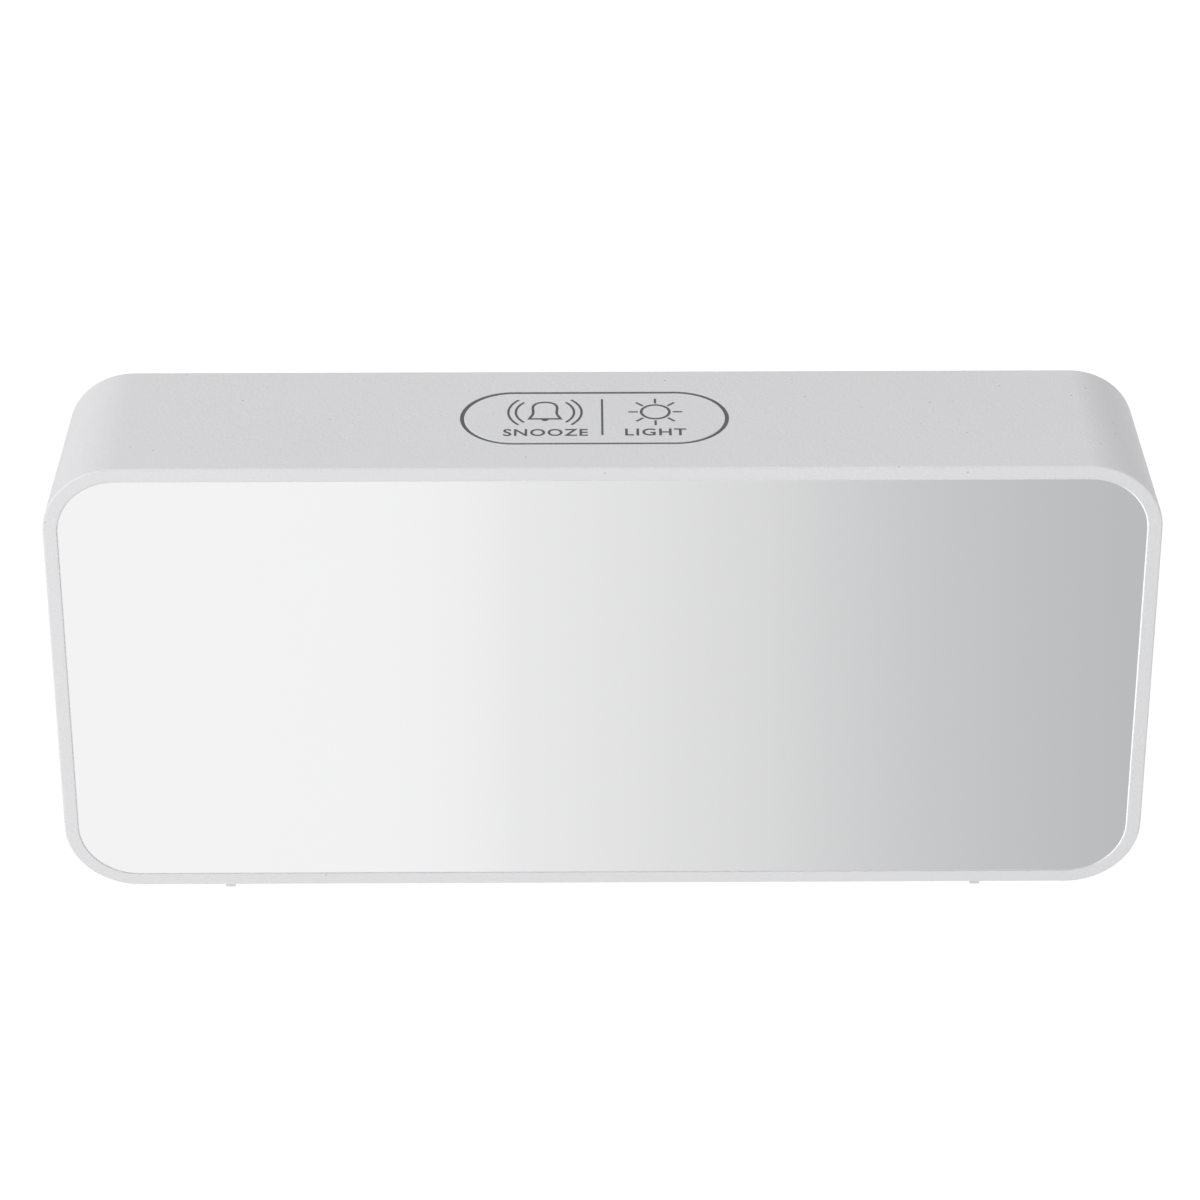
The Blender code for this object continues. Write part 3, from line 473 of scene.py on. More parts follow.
def grained(name, gloss=None, **sockets):
    """A material from the table: a fine grain in its surface, and a colour that wanders in patches."""
    colour, roughness, grain, relief, patches, wander = GRAINED[name]
    made = Shader(name, colour, roughness, **sockets)
    made.bump(made.noise(*grain), relief)
    made.vary_colour(made.noise(*patches), wander)
    if gloss:
        made.vary_roughness(made.noise(900), *gloss)
    return made.material


def moulded(name, colour, roughness):
    """Spark-eroded moulded plastic: a fine even grain, the faintest flow marks and a few dark specks."""
    made = Shader(name, colour, roughness)
    made.bump(made.noise(2000, 3), 0.075)
    made.vary_colour(made.noise(28, 2, made.stretched((1.0, 1.6, 1.0))), 0.012)
    plain = made.bsdf.inputs["Base Color"].links[0].from_socket
    clear = made.ranged(made.cells(1 / SPECK_SPACING), 0.0, 1.0, 0.0, SPECK_RADIUS / SPECK_SPACING)
    made.drive("Base Color", made.mixed(clear, SPECK_GREY, plain))
    made.vary_roughness(made.noise(220), roughness - 0.04, roughness + 0.05)
    return made.material


def mirror_coating():
    """The half-mirror film on the front of the acrylic, with the faintest haze."""
    made = Shader("mirror_coating", (0.955, 0.955, 0.957), 0.012, 1.0)
    made.vary_roughness(made.noise(35, 4), 0.008, 0.022)
    made.bump(made.noise(9, 0), 0.002)
    return made.material


def acrylic_edge_painted_glow():
    """The cut edge of the acrylic, with a painted highlight: it glows faintly along the right edge only."""
    made = Shader("acrylic_edge_painted_glow", (0.86, 0.87, 0.88), 0.25, IOR=1.49, Emission_Color=(1, 1, 1, 1))
    # Painted highlight: emission rises from 0 to 0.4 between x 74 and 77 mm, brightening the bevel at the
    # right edge.
    made.drive("Emission Strength", made.ranged(made.along("X"), 0.0, 0.4, *mm(74, 77)))
    made.bump(made.noise(9000), 0.002)
    made.vary_roughness(made.noise(1500), 0.15, 0.35)
    return made.material


def foam():
    made = Shader("foam_tape", (0.03, 0.03, 0.032), 0.95)
    made.bump(made.cells(3500), 0.05)
    made.vary_colour(made.noise(800), 0.2)
    return made.material


def circuit_board(name, flat, lamps=False):
    """Green solder mask over fine copper tracks, with pale vias or, instead, white lamps in front."""
    made = Shader(name, MASK_GREEN, 0.32, Coat_Weight=0.0 if lamps else 0.3)
    across = made.stretched(flat)
    bricks = made.node("ShaderNodeTexBrick", Vector=across, Scale=420, Mortar_Size=0.035)
    line = bricks.outputs["Fac"]
    if lamps:
        pale, tint = made.maths("LESS_THAN", made.along("Y"), LAMP_BACK), (0.80, 0.78, 0.66)
        level = line
    else:
        pale, tint = made.ranged(made.cells(260, across), 1.0, 0.0, 0.10, 0.14), (0.62, 0.60, 0.52)
        level = made.maths("ADD", line, pale)
    green = made.mixed(line, MASK_GREEN, (0.030, 0.200, 0.080))
    made.drive("Base Color", made.mixed(pale, green, tint))
    made.bump(level, 0.02)
    return made.material


def plated_steel(name, colour, roughness=0.24):
    """Nickel over drawn steel: fine drawing lines and a little variation in gloss."""
    made = Shader(name, colour, roughness, 1.0)
    lines = made.noise(1800, 3, made.stretched((1.0, 1.0, 12.0)))
    made.vary_roughness(lines, roughness - 0.07, roughness + 0.12)
    made.bump(lines, 0.002)
    made.vary_colour(made.noise(300), 0.05)
    return made.material


def vinyl(name, colour):
    made = Shader(name, colour, 0.4)
    made.bump(made.noise(2600, 1, made.stretched((1.0, 3.0, 1.0))), 0.006)
    made.vary_colour(made.noise(700), 0.08)
    return made.material


def ribbon_cable():
    """Grey-white flat cable: one ridge for each conductor."""
    made = Shader("ribbon_cable", (0.70, 0.70, 0.68), 0.45)
    wave = made.maths("SINE", made.maths("MULTIPLY", made.along("X"), math.pi / MM))
    ridge = made.maths("ABSOLUTE", wave)
    made.drive("Base Color", made.mixed(ridge, (0.42, 0.42, 0.41), (0.74, 0.74, 0.72)))
    made.bump(ridge, 0.2)
    return made.material


# ======== the case ========
def inset_at(y):
    return DRAFT * (y - FRONT) / DEPTH


HALF_WIDTH = case_high.x + inset_at(FRONT + FRONT_EDGE)
HALF_HEIGHT = (case_high.z - case_low.z) / 2 + inset_at(FRONT + FRONT_EDGE)
CASE_BOTTOM = MIDDLE - HALF_HEIGHT


def framed(side, radius):
    return rounded(2 * (HALF_WIDTH - side), 2 * (HALF_HEIGHT - side), radius, 0, MIDDLE)


def case_outline(y, inward=0.0):
    """The case's outline at depth y, drawn in a further distance."""
    return framed(inset_at(y) + inward, CORNER_RADIUS - inset_at(y) / 2 - inward)


def lens_outline(gap=0.0):
    return framed(FRAME_RING + gap, CORNER_RADIUS - FRAME_RING - gap)


def at_depth(outline, y):
    return [along_y(u, v, y) for u, v in outline]


def top_of_case(y):
    return MIDDLE + HALF_HEIGHT - inset_at(y)


def case_shell():
    """The housing's skin: rounded front edge, tapering sides, rear rim, inner wall, panel and lip."""
    rings = [at_depth(case_outline(FRONT + t, d), FRONT + t) for d, t in quarter(FRONT_EDGE)]
    for d, t in reversed(quarter(REAR_EDGE, 5)):
        rings.append(at_depth(case_outline(BACK - t, d), BACK - t))
    for d, t in quarter(0.2 * MM, 2):
        rings.append(at_depth(case_outline(BACK, WALL - d), BACK - t))
    window = rounded(*WINDOW, 1 * MM, 0, MIDDLE)
    rings.append(at_depth(case_outline(PANEL_BACK, WALL), PANEL_BACK))
    rings += [at_depth(window, PANEL_BACK), at_depth(window, PANEL_FRONT)]
    rings.append(at_depth(lens_outline(), PANEL_FRONT))
    for d, t in reversed(quarter(LIP, 3)):
        rings.append(at_depth(lens_outline(-d), FRONT + t))
    return skin("housing", rings, joined=True)


def housing_bosses():
    """The screw bosses and the pilot holes in them."""
    root, tip = PANEL_BACK - 0.6 * MM, key_board_high.z + SEAT
    key_root, end = top_of_case(KEY_SCREW_Y) - 0.9 * MM, reflector_high.y
    rows = (
        (CASE_SCREWS, 3.0, (root, CASE_BOSS_BACK), 1.4, (-5.5 * MM, CASE_BOSS_BACK + 1 * MM), along_y),
        (BOARD_SCREWS, 2.5, (root, end), 1.1, (-8.5 * MM, end + 1 * MM), along_y),
        (KEY_SCREWS, 2.2, (tip, key_root), 1.0, (tip - 1 * MM, tip + 3.9 * MM), along_z),
    )
    bosses, pilots = [], []
    for centres, boss_radius, boss, pilot_radius, pilot, place in rows:
        for centre in centres:
            bosses.append(rod(centre, boss_radius * MM, *boss, place))
            pilots.append(rod(centre, pilot_radius * MM, *pilot, place))
    return bosses, pilots


def on_key_slope(u, v, rise):
    """A point at (u, v) on the top of the case, raised square to the table."""
    return Vector((u, v, top_of_case(v) + rise))


def key_ring(radius, rise):
    """The key's outline, widened to a radius, at a height above the top of the case."""
    return [on_key_slope(u, v, rise) for u, v in stadium(KEY_STRAIGHT, radius, KEY_X, KEY_Y)]


def key_level(radius, z):
    return [along_z(u, v, z) for u, v in stadium(KEY_STRAIGHT, radius, KEY_X, KEY_Y)]


def key_opening():
    """The cutter for the opening round the top key, with a softened edge at the surface."""
    radius, flare = KEY_MID_RADIUS + KEY_GAP / 2, 0.1 * MM
    rings = [key_level(radius, key_low.z - 0.3 * MM)]
    for grow, drop in [*flared(flare), (flare, -1 * MM)]:
        rings.append(key_ring(radius + grow, -drop))
    return skin("key_opening", rings)


def foot_strip(name, side, half_width, margin, low, reach):
    """A strip under the tapering case, let into it by reach."""
    rings = []
    foot_low, foot_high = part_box("foot_left")
    for y in (foot_low.y - margin, foot_high.y + margin):
        high = CASE_BOTTOM + inset_at(y) + reach
        rings.append(at_depth(rectangle(about(side * FOOT_X, half_width), (low, high)), y))
    return skin(name, rings)


def build_housing(plastic):
    housing = case_shell()
    bosses, pilots = housing_bosses()
    carve(housing, bosses, "UNION")
    grooves = [foot_strip("foot_groove", side, 0.85 * MM, SEAT, -1 * MM, 0.8 * MM) for side in (-1, 1)]
    carve(housing, [*pilots, key_opening(), *grooves])
    keep_flats_flat(housing)
    finished(housing, plastic, ["front_housing"])


def build_feet(material):
    for name, side in (("left", -1), ("right", 1)):
        foot = foot_strip(f"rubber_foot_{name}", side, 0.75 * MM, 0.0, 0.0, 0.7 * MM)
        bevel = foot.modifiers.new("soft_edges", "BEVEL")
        bevel.width = 0.18 * MM
        bevel.segments = 3
        finished(foot, material, [f"foot_{name}"])


def build_mirror(coating, edge):
    """The mirror, whose front is coated and whose bevel and sides are bare acrylic, with a painted glow
    along the right edge.
    """
    face = lens_low.y - LENS_FORWARD
    rings = [at_depth(lens_outline(LENS_GAP + LENS_BEVEL), face)]
    rings.append(at_depth(lens_outline(LENS_GAP), face + LENS_BEVEL / 2))
    rings.append(at_depth(lens_outline(LENS_GAP), lens_high.y))
    mirror = skin("mirror", rings, sharp=10)
    finished(mirror, [coating, edge], ["mirror_lens"])
    for polygon in mirror.data.polygons:
        polygon.material_index = 0 if abs(polygon.normal.y) > 0.99 else 1


# ======== the top key and its printing ========
def build_key(plastic):
    radius = KEY_MID_RADIUS - KEY_GAP / 2
    inner, flange = radius - 1.3 * MM, KEY_MID_RADIUS + KEY_FLANGE
    ceiling, flange_top = key_low.z + 1.3 * MM, key_low.z + 0.8 * MM
    rings = [key_level(inner, ceiling), key_level(inner, key_low.z), key_level(flange, key_low.z)]
    rings += [key_level(flange, flange_top), key_level(radius, flange_top)]
    rings += [key_ring(radius - d, -t) for d, t in reversed(quarter(0.15 * MM))]
    key = skin("top_key_cap", rings)
    pads = []
    for side in ("left", "right"):
        low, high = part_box(f"key_plunger_{side}")
        centre = (low + high).xy / 2
        pads.append(rod(centre, 1.5 * MM, high.z + SEAT, ceiling + 0.5 * MM, along_z))
    carve(key, pads, "UNION")
    keep_flats_flat(key)
    finished(key, plastic, ["snooze_light_key"], "top_key")


def build_gap_shade_seal(material):
    """The soft ring that closes the gap round the key, just under the surface. Its dark grey is painted
    shade: it stands in for the shade down in the gap.
    """
    outer = KEY_MID_RADIUS + KEY_GAP / 2 - 0.01 * MM
    inner = KEY_MID_RADIUS - KEY_GAP / 2 + 0.04 * MM
    root, rim, valley = mm(-1.0, -0.1, -0.14)
    profile = ((outer, root), (outer, rim), (KEY_MID_RADIUS, valley), (inner, rim), (inner, root))
    seal = skin("key_seal", [key_ring(*point) for point in profile], joined=True)
    finished(seal, material, ["key_seal"])


def on_key(u, v, t):
    """(u, v) from the key's middle, at height t above its sloping surface."""
    return on_key_slope(KEY_X + u, KEY_Y + v, t)


def on_back(u, v, t):
    """(u, v) seen from behind, at height t off the rear cover."""
    return Vector((-u, REAR_FACE + t, v))


def stroke(points, place, closed=False, width=STROKE):
    """A printed line of even width along the points."""
    one, other = [], []
    for i, point in enumerate(points):
        here = Vector(point)
        ways = []
        if closed or i > 0:
            ways.append((here - Vector(points[i - 1])).normalized())
        if closed or i < len(points) - 1:
            ways.append((Vector(points[(i + 1) % len(points)]) - here).normalized())
        ahead = sum(ways, Vector((0, 0))).normalized()
        aside = Vector((-ahead.y, ahead.x)) * (width / 2 / max(0.5, ahead.dot(ways[0])))
        one.append(here + aside)
        other.append(here - aside)
    if closed:
        inner, outer = sorted((one, other), key=area)
        return plate(outer, -INK_DEPTH, INK_RISE, [inner], place)
    return plate(one + other[::-1], -INK_DEPTH, INK_RISE, place=place)


def area(loop):
    pairs = zip(loop, [*loop[1:], loop[0]])
    return abs(sum(a[0] * b[1] - b[0] * a[1] for a, b in pairs)) / 2


def word(text, centre, size):
    """Plain capitals, stretched to a size and printed on the key."""
    curve = bpy.data.curves.new("word", "FONT")
    curve.body = text
    curve.extrude = 0.5
    curve.offset = 0.015
    curve.resolution_u = 4
    curve.space_character = 1.12
    source = placed("word", curve)
    mesh = evaluated(source)
    bpy.data.objects.remove(source)
    xs = [vert.co.x for vert in mesh.vertices]
    ys = [vert.co.y for vert in mesh.vertices]
    for vert in mesh.vertices:
        u = ((vert.co.x - min(xs)) / (max(xs) - min(xs)) - 0.5) * size[0] + centre[0]
        v = ((vert.co.y - min(ys)) / (max(ys) - min(ys)) - 0.5) * size[1] + centre[1]
        vert.co = on_key(u, v, INK_RISE if vert.co.z > 0 else -INK_DEPTH)
    bm = bmesh.new()
    bm.from_mesh(mesh)
    bmesh.ops.remove_doubles(bm, verts=bm.verts, dist=0.001 * MM)
    return to_object("part", bm)


def bell_outline(cx, cy):
    """A handbell: a broad crown, a slight waist, and a flared lip."""
    round_top = arc(0, 0, 1, 0, 180, 18)
    crown = [(math.copysign(abs(c) ** 0.85, c) * 1.78, 3.15 + 1.8 * h**0.85) for c, h in round_top]
    left = [(-1.7, 1.9), (-1.8, 1.2), (-2.3, 0.0)]
    return shifted([*crown, *left, *[(-u, v) for u, v in reversed(left)]], cx, cy)


def ringing_bell():
    cx, foot, middle = mm(-7.25, -0.35, 1.6)
    parts = [stroke(bell_outline(cx, foot), on_key, closed=True)]
    clapper = [(cx + u, v) for u, v in arc(0, foot - 0.1 * MM, 0.55 * MM, 190, 350, 8)]
    parts.append(plate(clapper, -INK_DEPTH, INK_RISE, place=on_key))
    for radius in mm(4.25, 5.35):
        for facing in (0, 180):
            wave = arc(cx, middle, radius, facing - 44, facing + 44, 18)
            parts.append(stroke(wave, on_key, width=THIN_STROKE))
    return parts


def shining_sun():
    cx, cy = mm(8.87, 1.65)
    parts = [stroke(circle(cx, cy, 2.06 * MM, 40), on_key, closed=True)]
    for i in range(8):
        t = math.tau * i / 8
        ray = [(cx + r * math.cos(t), cy + r * math.sin(t)) for r in mm(2.55, 3.95)]
        parts.append(stroke(ray, on_key, width=THIN_STROKE))
    return parts


def build_key_printing(material):
    divider = [mm(1.1, -5.2), mm(1.1, 5.5)]
    groups = {
        "print_bell": ringing_bell(),
        "print_sun": shining_sun(),
        "print_divider": [stroke(divider, on_key, width=0.3 * MM)],
        "print_left_word": [word("SNOOZE", mm(-7.15, -4.4), mm(12.3, 2.05))],
        "print_right_word": [word("LIGHT", mm(8.85, -4.35), mm(8.9, 2.05))],
    }
    for name, parts in groups.items():
        finished(gathered(name, parts), material, body="top_key")


# ======== the back ========
def cover_outline(d=0.0):
    return case_outline(REAR_FACE, WALL + COVER_GAP + d)


def button_outline(x, radius):
    return stadium(3.2 * MM, radius, x, ROW_HEIGHT, 16)


def off_bay_wall(side, *distances):
    """Places along X, in mm inward from a side wall of the battery bay, in rising order."""
    return sorted(side * (BAY[0] / 2 - distance * MM) for distance in distances)


def cover_additions(low, high):
    """What stands on the cover's inside: rim, bay, ledge under the door, screw wells and posts."""
    rim_root, rim_hole = COVER_INSIDE - 2.5 * MM, [cover_outline(1.4 * MM)]
    tub = rounded(BAY[0] + 2 * BAY_WALL, BAY[1] + 2 * BAY_WALL, 2 * MM, 0, BAY_MIDDLE, 6)
    ledge = rounded(DOOR[0] + 3.4 * MM, DOOR[1] + 3 * MM, 2 * MM, 0, BAY_MIDDLE, 4)
    additions = [
        plate(cover_outline(0.2 * MM), rim_root, high, rim_hole),
        plate(tub, BAY_FLOOR - BAY_WALL, LEDGE_BACK - 0.4 * MM),
        plate(ledge, LEDGE_FRONT, COVER_INSIDE + 0.35 * MM),
    ]
    additions += [rod(centre, 4.5 * MM, low, high, steps=40) for centre in CASE_SCREWS]
    for centre in REAR_BOARD_SCREWS:
        additions.append(rod(centre, 2.4 * MM, rear_board_high.y + SEAT, high))
    return additions


def cover_cuts(low, high):
    """What is cut from the cover: screw ways, button, inlet and sound holes, and the bay."""
    seat, past = CASE_SCREW_SEAT - SEAT, COVER_INSIDE - 1 * MM
    cuts = []
    for centre in CASE_SCREWS:
        cuts.append(flared_cutter(lambda g, c=centre: circle(*c, 3.4 * MM + g), seat, 0.3 * MM))
        cuts.append(rod(centre, 1.6 * MM, low - 1 * MM, seat + 1 * MM))
    for x in BUTTONS.values():
        cuts.append(flared_cutter(lambda g, x=x: button_outline(x, 3.25 * MM + g), past, 0.25 * MM))
    for centre in REAR_BOARD_SCREWS:
        cuts.append(rod(centre, 1.1 * MM, rear_board_high.y - 1 * MM, high))
    window = resizing(*mm(9, 3.9, 1), USB_X, ROW_HEIGHT, 6)
    cuts.append(flared_cutter(window, past, 0.3 * MM))
    sound = (buzzer_low + buzzer_high).xz / 2
    for centre in [sound, *arc(*sound, 3 * MM, 0, 300, 5)]:
        cuts.append(flared_cutter(lambda g, c=centre: circle(*c, 0.7 * MM + g, 20), past, 0.15 * MM))
    opening = resizing(DOOR[0] + 2 * DOOR_GAP, DOOR[1] + 2 * DOOR_GAP, 2 * MM, 0, BAY_MIDDLE, 8)
    cuts.append(flared_cutter(opening, LEDGE_BACK, 0.15 * MM))
    cuts.append(plate(rounded(*BAY, 1 * MM, 0, BAY_MIDDLE, 5), BAY_FLOOR, REAR_FACE))
    notch_y = (LEDGE_FRONT - 1.7 * MM, LEDGE_BACK + 0.1 * MM)
    notch_z = (DOOR_BOTTOM - DOOR_GAP, BAY_MIDDLE - BAY[1] / 2 + 0.3 * MM)
    cuts += [box(about(side * TAB_X, 3.4 * MM), notch_y, notch_z) for side in (-1, 1)]
    for side in (-1, 1):
        slot_z = about(BAY_MIDDLE + side * CELL_PITCH, 1.4 * MM)
        cuts.append(box(off_bay_wall(side, 0.5, -2), about(CELL_Y, 0.5 * MM), slot_z))
    return cuts


def build_rear_cover(plastic):
    cover = cushioned("back_cover", cover_outline, COVER_INSIDE, REAR_FACE, 0.25 * MM)
    low, high = CASE_BOSS_BACK + SEAT, COVER_INSIDE + 0.5 * MM
    carve(cover, cover_additions(low, high), "UNION")
    carve(cover, cover_cuts(low, high))
    keep_flats_flat(cover)
    finished(cover, plastic, ["rear_cover"])


def door_outline(d=0.0):
    """The battery door with the two slits that free its snap tongue, drawn in by d."""
    corner, slit, tongue, depth = mm(1.7, 1.0, 6, 7)
    corner -= d
    right, low, high = DOOR[0] / 2 - d - corner, DOOR_BOTTOM + d, DOOR_TOP - d
    slit_end = high - depth + d
    near, far = tongue - d, tongue + slit + d
    outline = arc(right, high - corner, corner, 0, 90, 8)
    for first, second in ((far, near), (-near, -far)):
        outline += [(first, high), (first, slit_end), (second, slit_end), (second, high)]
    outline += arc(-right, high - corner, corner, 90, 180, 8)
    outline += arc(-right, low + corner, corner, 180, 270, 8)
    outline += arc(right, low + corner, corner, 270, 360, 8)
    return outline


def build_door(plastic):
    door = cushioned("bay_door", door_outline, DOOR_INSIDE, REAR_FACE, 0.15 * MM)
    hook_y = (LEDGE_FRONT - 1.2 * MM, LEDGE_FRONT - 0.2 * MM)
    neck_y = (hook_y[0] + 0.3 * MM, DOOR_INSIDE + 0.4 * MM)
    neck_z = (DOOR_BOTTOM, DOOR_BOTTOM + 1.4 * MM)
    hook_z = (DOOR_BOTTOM - 1.3 * MM, neck_z[1] - 0.2 * MM)
    tabs = []
    for side in (-1, 1):
        x = about(side * TAB_X, 3 * MM)
        tabs += [box(x, neck_y, neck_z), box(x, hook_y, hook_z)]
    carve(door, tabs, "UNION")
    root = REAR_FACE - 0.4 * MM
    raised = []
    for i in range(4):
        rib = partial(rib_outline, DOOR_TOP - (1.6 + 1.3 * i) * MM)
        raised.append(cushioned("grip_rib", rib, root, REAR_FACE + 0.3 * MM, 0.25 * MM))
    raised.append(cushioned("open_arrow", arrow_outline, root, REAR_FACE + 0.25 * MM, 0.15 * MM))
    carve(door, raised, "UNION")
    keep_flats_flat(door)
    finished(door, plastic, ["battery_door"], "door")


def rib_outline(height, d):
    return stadium(3.8 * MM, 0.3 * MM - d * 0.8, 0, height, 6)


def arrow_outline(d):
    centre = Vector((0, DOOR_TOP - 13.5 * MM))
    corners = [mm(-3.2, 0), mm(3.2, 0), mm(0, 3.6)]
    return [centre + Vector(corner) * (1 - d / (1.5 * MM)) for corner in corners]


def build_buttons(plastic):
    """Caps with a flange inside, a rounded edge and a slightly crowned face."""
    wide, narrow, edge, crown = mm(4.0, 3.0, 0.45, 0.12)
    flange_back = COVER_INSIDE - 0.2 * MM
    for label, x in BUTTONS.items():
        low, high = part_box(f"button_{label}")
        rings = [(wide, flange_back - 1 * MM), (wide, flange_back), (narrow, flange_back)]
        rings += [(narrow - d, high.y - t - crown) for d, t in reversed(quarter(edge, 5))]
        for share in (0.62, 0.3):
            rings.append(((narrow - edge) * share, high.y - crown * share**2))
        cap = skin(f"cap_{label}", [at_depth(button_outline(x, r), y) for r, y in rings])
        stem = rod((x, ROW_HEIGHT), 1.4 * MM, low.y, flange_back - 0.5 * MM)
        carve(cap, [stem], "UNION")
        finished(cap, plastic, [f"button_{label}"], f"{label}_button")


def build_back_printing(material):
    """Symbols above the buttons and the inlet: lines and widths in mm. Those of no width are filled."""
    above = ROW_HEIGHT + 5.4 * MM
    dashes = [([(1.1 * i - 0.35, -0.4), (1.1 * i + 0.35, -0.4)], 0.25) for i in (-1, 0, 1)]
    symbols = {
        "mode": [(circle(0, 0, 1.35), 0.25), ([(0.6, 0), (0, 0), (0, 0.85)], 0.22)],
        "set": [([(-1.1, 0), (-0.3, -0.8), (1.2, 0.9)], 0.3)],
        "down": [([(-1.2, 0.8), (1.2, 0.8), (0, -1)], 0)],
        "up": [([(-1.2, -0.8), (1.2, -0.8), (0, 1)], 0)],
        "inlet": [([(-1.5, 0.4), (1.5, 0.4)], 0.25), *dashes],
    }
    for label, lines in symbols.items():
        centre = (-BUTTONS[label], above) if label in BUTTONS else (-USB_X, above - 0.6 * MM)
        parts = []
        for points, width in lines:
            outline = shifted(points, *centre)
            if width:
                parts.append(stroke(outline, on_back, len(points) > 3, width * MM))
            else:
                parts.append(plate(outline, -INK_DEPTH, INK_RISE, place=on_back))
        finished(gathered(f"print_{label}", parts), material)


def bay_signs(plastic):
    """Raised plus and minus signs on the bay's floor, one of each for every cell."""
    y = (BAY_FLOOR - 0.05 * MM, BAY_FLOOR + 0.12 * MM)
    parts = []
    for row in (-1, 0, 1):
        way = -1 if row == 0 else 1
        height = BAY_MIDDLE + row * CELL_PITCH
        for sign in (-1, 1):
            x = sign * way * 15 * MM
            parts.append(box(about(x, 1.4 * MM), y, about(height, 0.3 * MM)))
        for end in (-1, 1):
            z = about(height + end * 0.85 * MM, 0.55 * MM)
            parts.append(box(about(way * 15 * MM, 0.3 * MM), y, z))
    finished(gathered("bay_polarity_signs", parts), plastic)


# ======== metal ========
def screw(node, centre, face, way, length, head_radius, material, place):
    """A pan-head screw with a cross recess and a thread of ridges."""
    head, pitch = 1.6 * MM, 0.9 * MM
    core, crest = head_radius * 0.36, head_radius * 0.46
    profile = [(head_radius * r, -head * t) for r, t in ((0.18, 1), (0.55, 0.97), (0.85, 0.78), (1, 0.4))]
    profile += [(head_radius, 0.0), (core, 0.0)]
    for i in range(int((length - crest) / pitch)):
        start = pitch * (i + 0.35)
        profile += [(core, start), (crest, start + pitch * 0.3), (core, start + pitch * 0.6)]
    profile.append((core * 0.3, length))
    made = turned(f"fine_{node}", centre, [(r, face + way * t) for r, t in profile], place, 28)
    ends = sorted((face - way * (head + 0.5 * MM), face - way * (head - 0.9 * MM)))
    slots = []
    for a, b in ((0.6, 0.13), (0.13, 0.6)):
        outline = rectangle(about(centre[0], head_radius * a), about(centre[1], head_radius * b))
        slots.append(plate(outline, *ends, place=place))
    carve(made, slots)
    finished(made, material, [node])


def build_screws(material):
    rows = (
        ("case_screw", CASE_SCREWS, CASE_SCREW_SEAT, -1, (9.5, 2.6), along_y),
        ("board_screw", BOARD_SCREWS, board_high.y + SEAT, -1, (6.2, 2.0), along_y),
        ("rear_board_screw", REAR_BOARD_SCREWS, rear_board_low.y - SEAT, 1, (5, 2), along_y),
        ("key_board_screw", KEY_SCREWS, key_board_low.z - SEAT, 1, (4.2, 1.9), along_z),
    )
    for node, centres, face, way, size, place in rows:
        for i, centre in enumerate(centres, 1):
            screw(f"{node}_{i}", centre, face, way, *mm(*size), material, place)


def coil(side, height):
    """A tapering battery spring that grows out of its contact plate."""
    turns, per_turn, length = 3, 28, 5.9 * MM
    base = side * (BAY[0] / 2 - 0.45 * MM)
    points = []
    for i in range(turns * per_turn + 1):
        share = i / (turns * per_turn)
        angle, radius = math.tau * turns * share, (3.6 - 1.7 * share) * MM
        y, z = CELL_Y + radius * math.cos(angle), height + radius * math.sin(angle)
        points.append(Vector((base - side * length * share, y, z)))
    return tube("coil", points, 0.35 * MM, 10)


def contact(name, side, heights, spring, nub, tail):
    """A contact plate with softened edges, and its spring, nub and solder tail."""
    reach, middle = 4.4 * MM, (heights[0] + heights[-1]) / 2
    height = heights[-1] - heights[0] + 2 * reach
    outline = resizing(2 * reach, height, 1 * MM, CELL_Y, middle, 6, way=-1)
    made = cushioned(f"fine_{name}", outline, *off_bay_wall(side, 0.15, 0.6), 0.08 * MM, along_x, both=True)
    parts = []
    if spring is not None:
        parts.append(coil(side, spring))
    if nub is not None:
        face, tip = (side * (BAY[0] / 2 - inward) for inward in mm(0.4, 1.5))
        steps = ((2.0, 0), (2.0, 0.45), (1.85, 0.8), (1.5, 1))
        profile = [(r * MM, face + (tip - face) * share) for r, share in steps]
        parts.append(turned("nub", (CELL_Y, nub), profile, along_x))
    if tail is not None:
        span = off_bay_wall(side, 0.6, -2.4)
        parts.append(box(span, about(CELL_Y, 0.2 * MM), about(tail, 1.1 * MM)))
    carve(made, parts, "UNION")
    return made


def build_contacts(material):
    low, mid, high = (BAY_MIDDLE + row * CELL_PITCH for row in (-1, 0, 1))
    layout = {
        "contact_negative": (-1, [low], low, None, low),
        "contact_bridge_left": (-1, [mid, high], high, mid, None),
        "contact_bridge_right": (1, [low, mid], mid, low, None),
        "contact_positive": (1, [high], None, high, high),
    }
    for name, shape in layout.items():
        finished(contact(name, *shape), material, [name])


def build_inlet(steel, black, gold):
    """The power inlet: a folded steel shell, a rolled lip and a tongue with five contacts."""
    outside = resizing(*mm(8.0, 2.9, 0.7), USB_X, ROW_HEIGHT, 8, way=-1)
    inside = resizing(*mm(7.1, 2.0, 0.4), USB_X, ROW_HEIGHT, 8)
    shell = cushioned("inlet_shell", outside, usb_low.y, usb_high.y, 0.12 * MM)
    carve(shell, [flared_cutter(inside, usb_low.y + 2 * MM, 0.15 * MM, usb_high.y)])
    finished(shell, steel, ["usb_socket"])
    low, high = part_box("usb_tongue")
    middle, half = (low.z + high.z) / 2, (high.z - low.z) / 2

    def tongue_outline(d):
        return rectangle(about(USB_X, 2.2 * MM - d), about(middle, half - d))

    tongue = cushioned("inlet_tongue", tongue_outline, low.y, high.y, 0.1 * MM)
    finished(tongue, black, ["usb_tongue"])
    y, z = (low.y + 0.6 * MM, high.y - 0.3 * MM), about(low.z, 0.05 * MM)
    strips = [box(about(USB_X + i * 0.65 * MM, 0.16 * MM), y, z) for i in range(-2, 3)]
    finished(gathered("inlet_contacts", strips), gold)


# ======== what is inside ========
def solder_blob(centre, radius, base):
    steps = ((1, 0), (0.8, 0.35), (0.4, 0.75), (0.12, 0.95))
    return turned("blob", centre, [(radius * r, base + radius * t) for r, t in steps], steps=12)


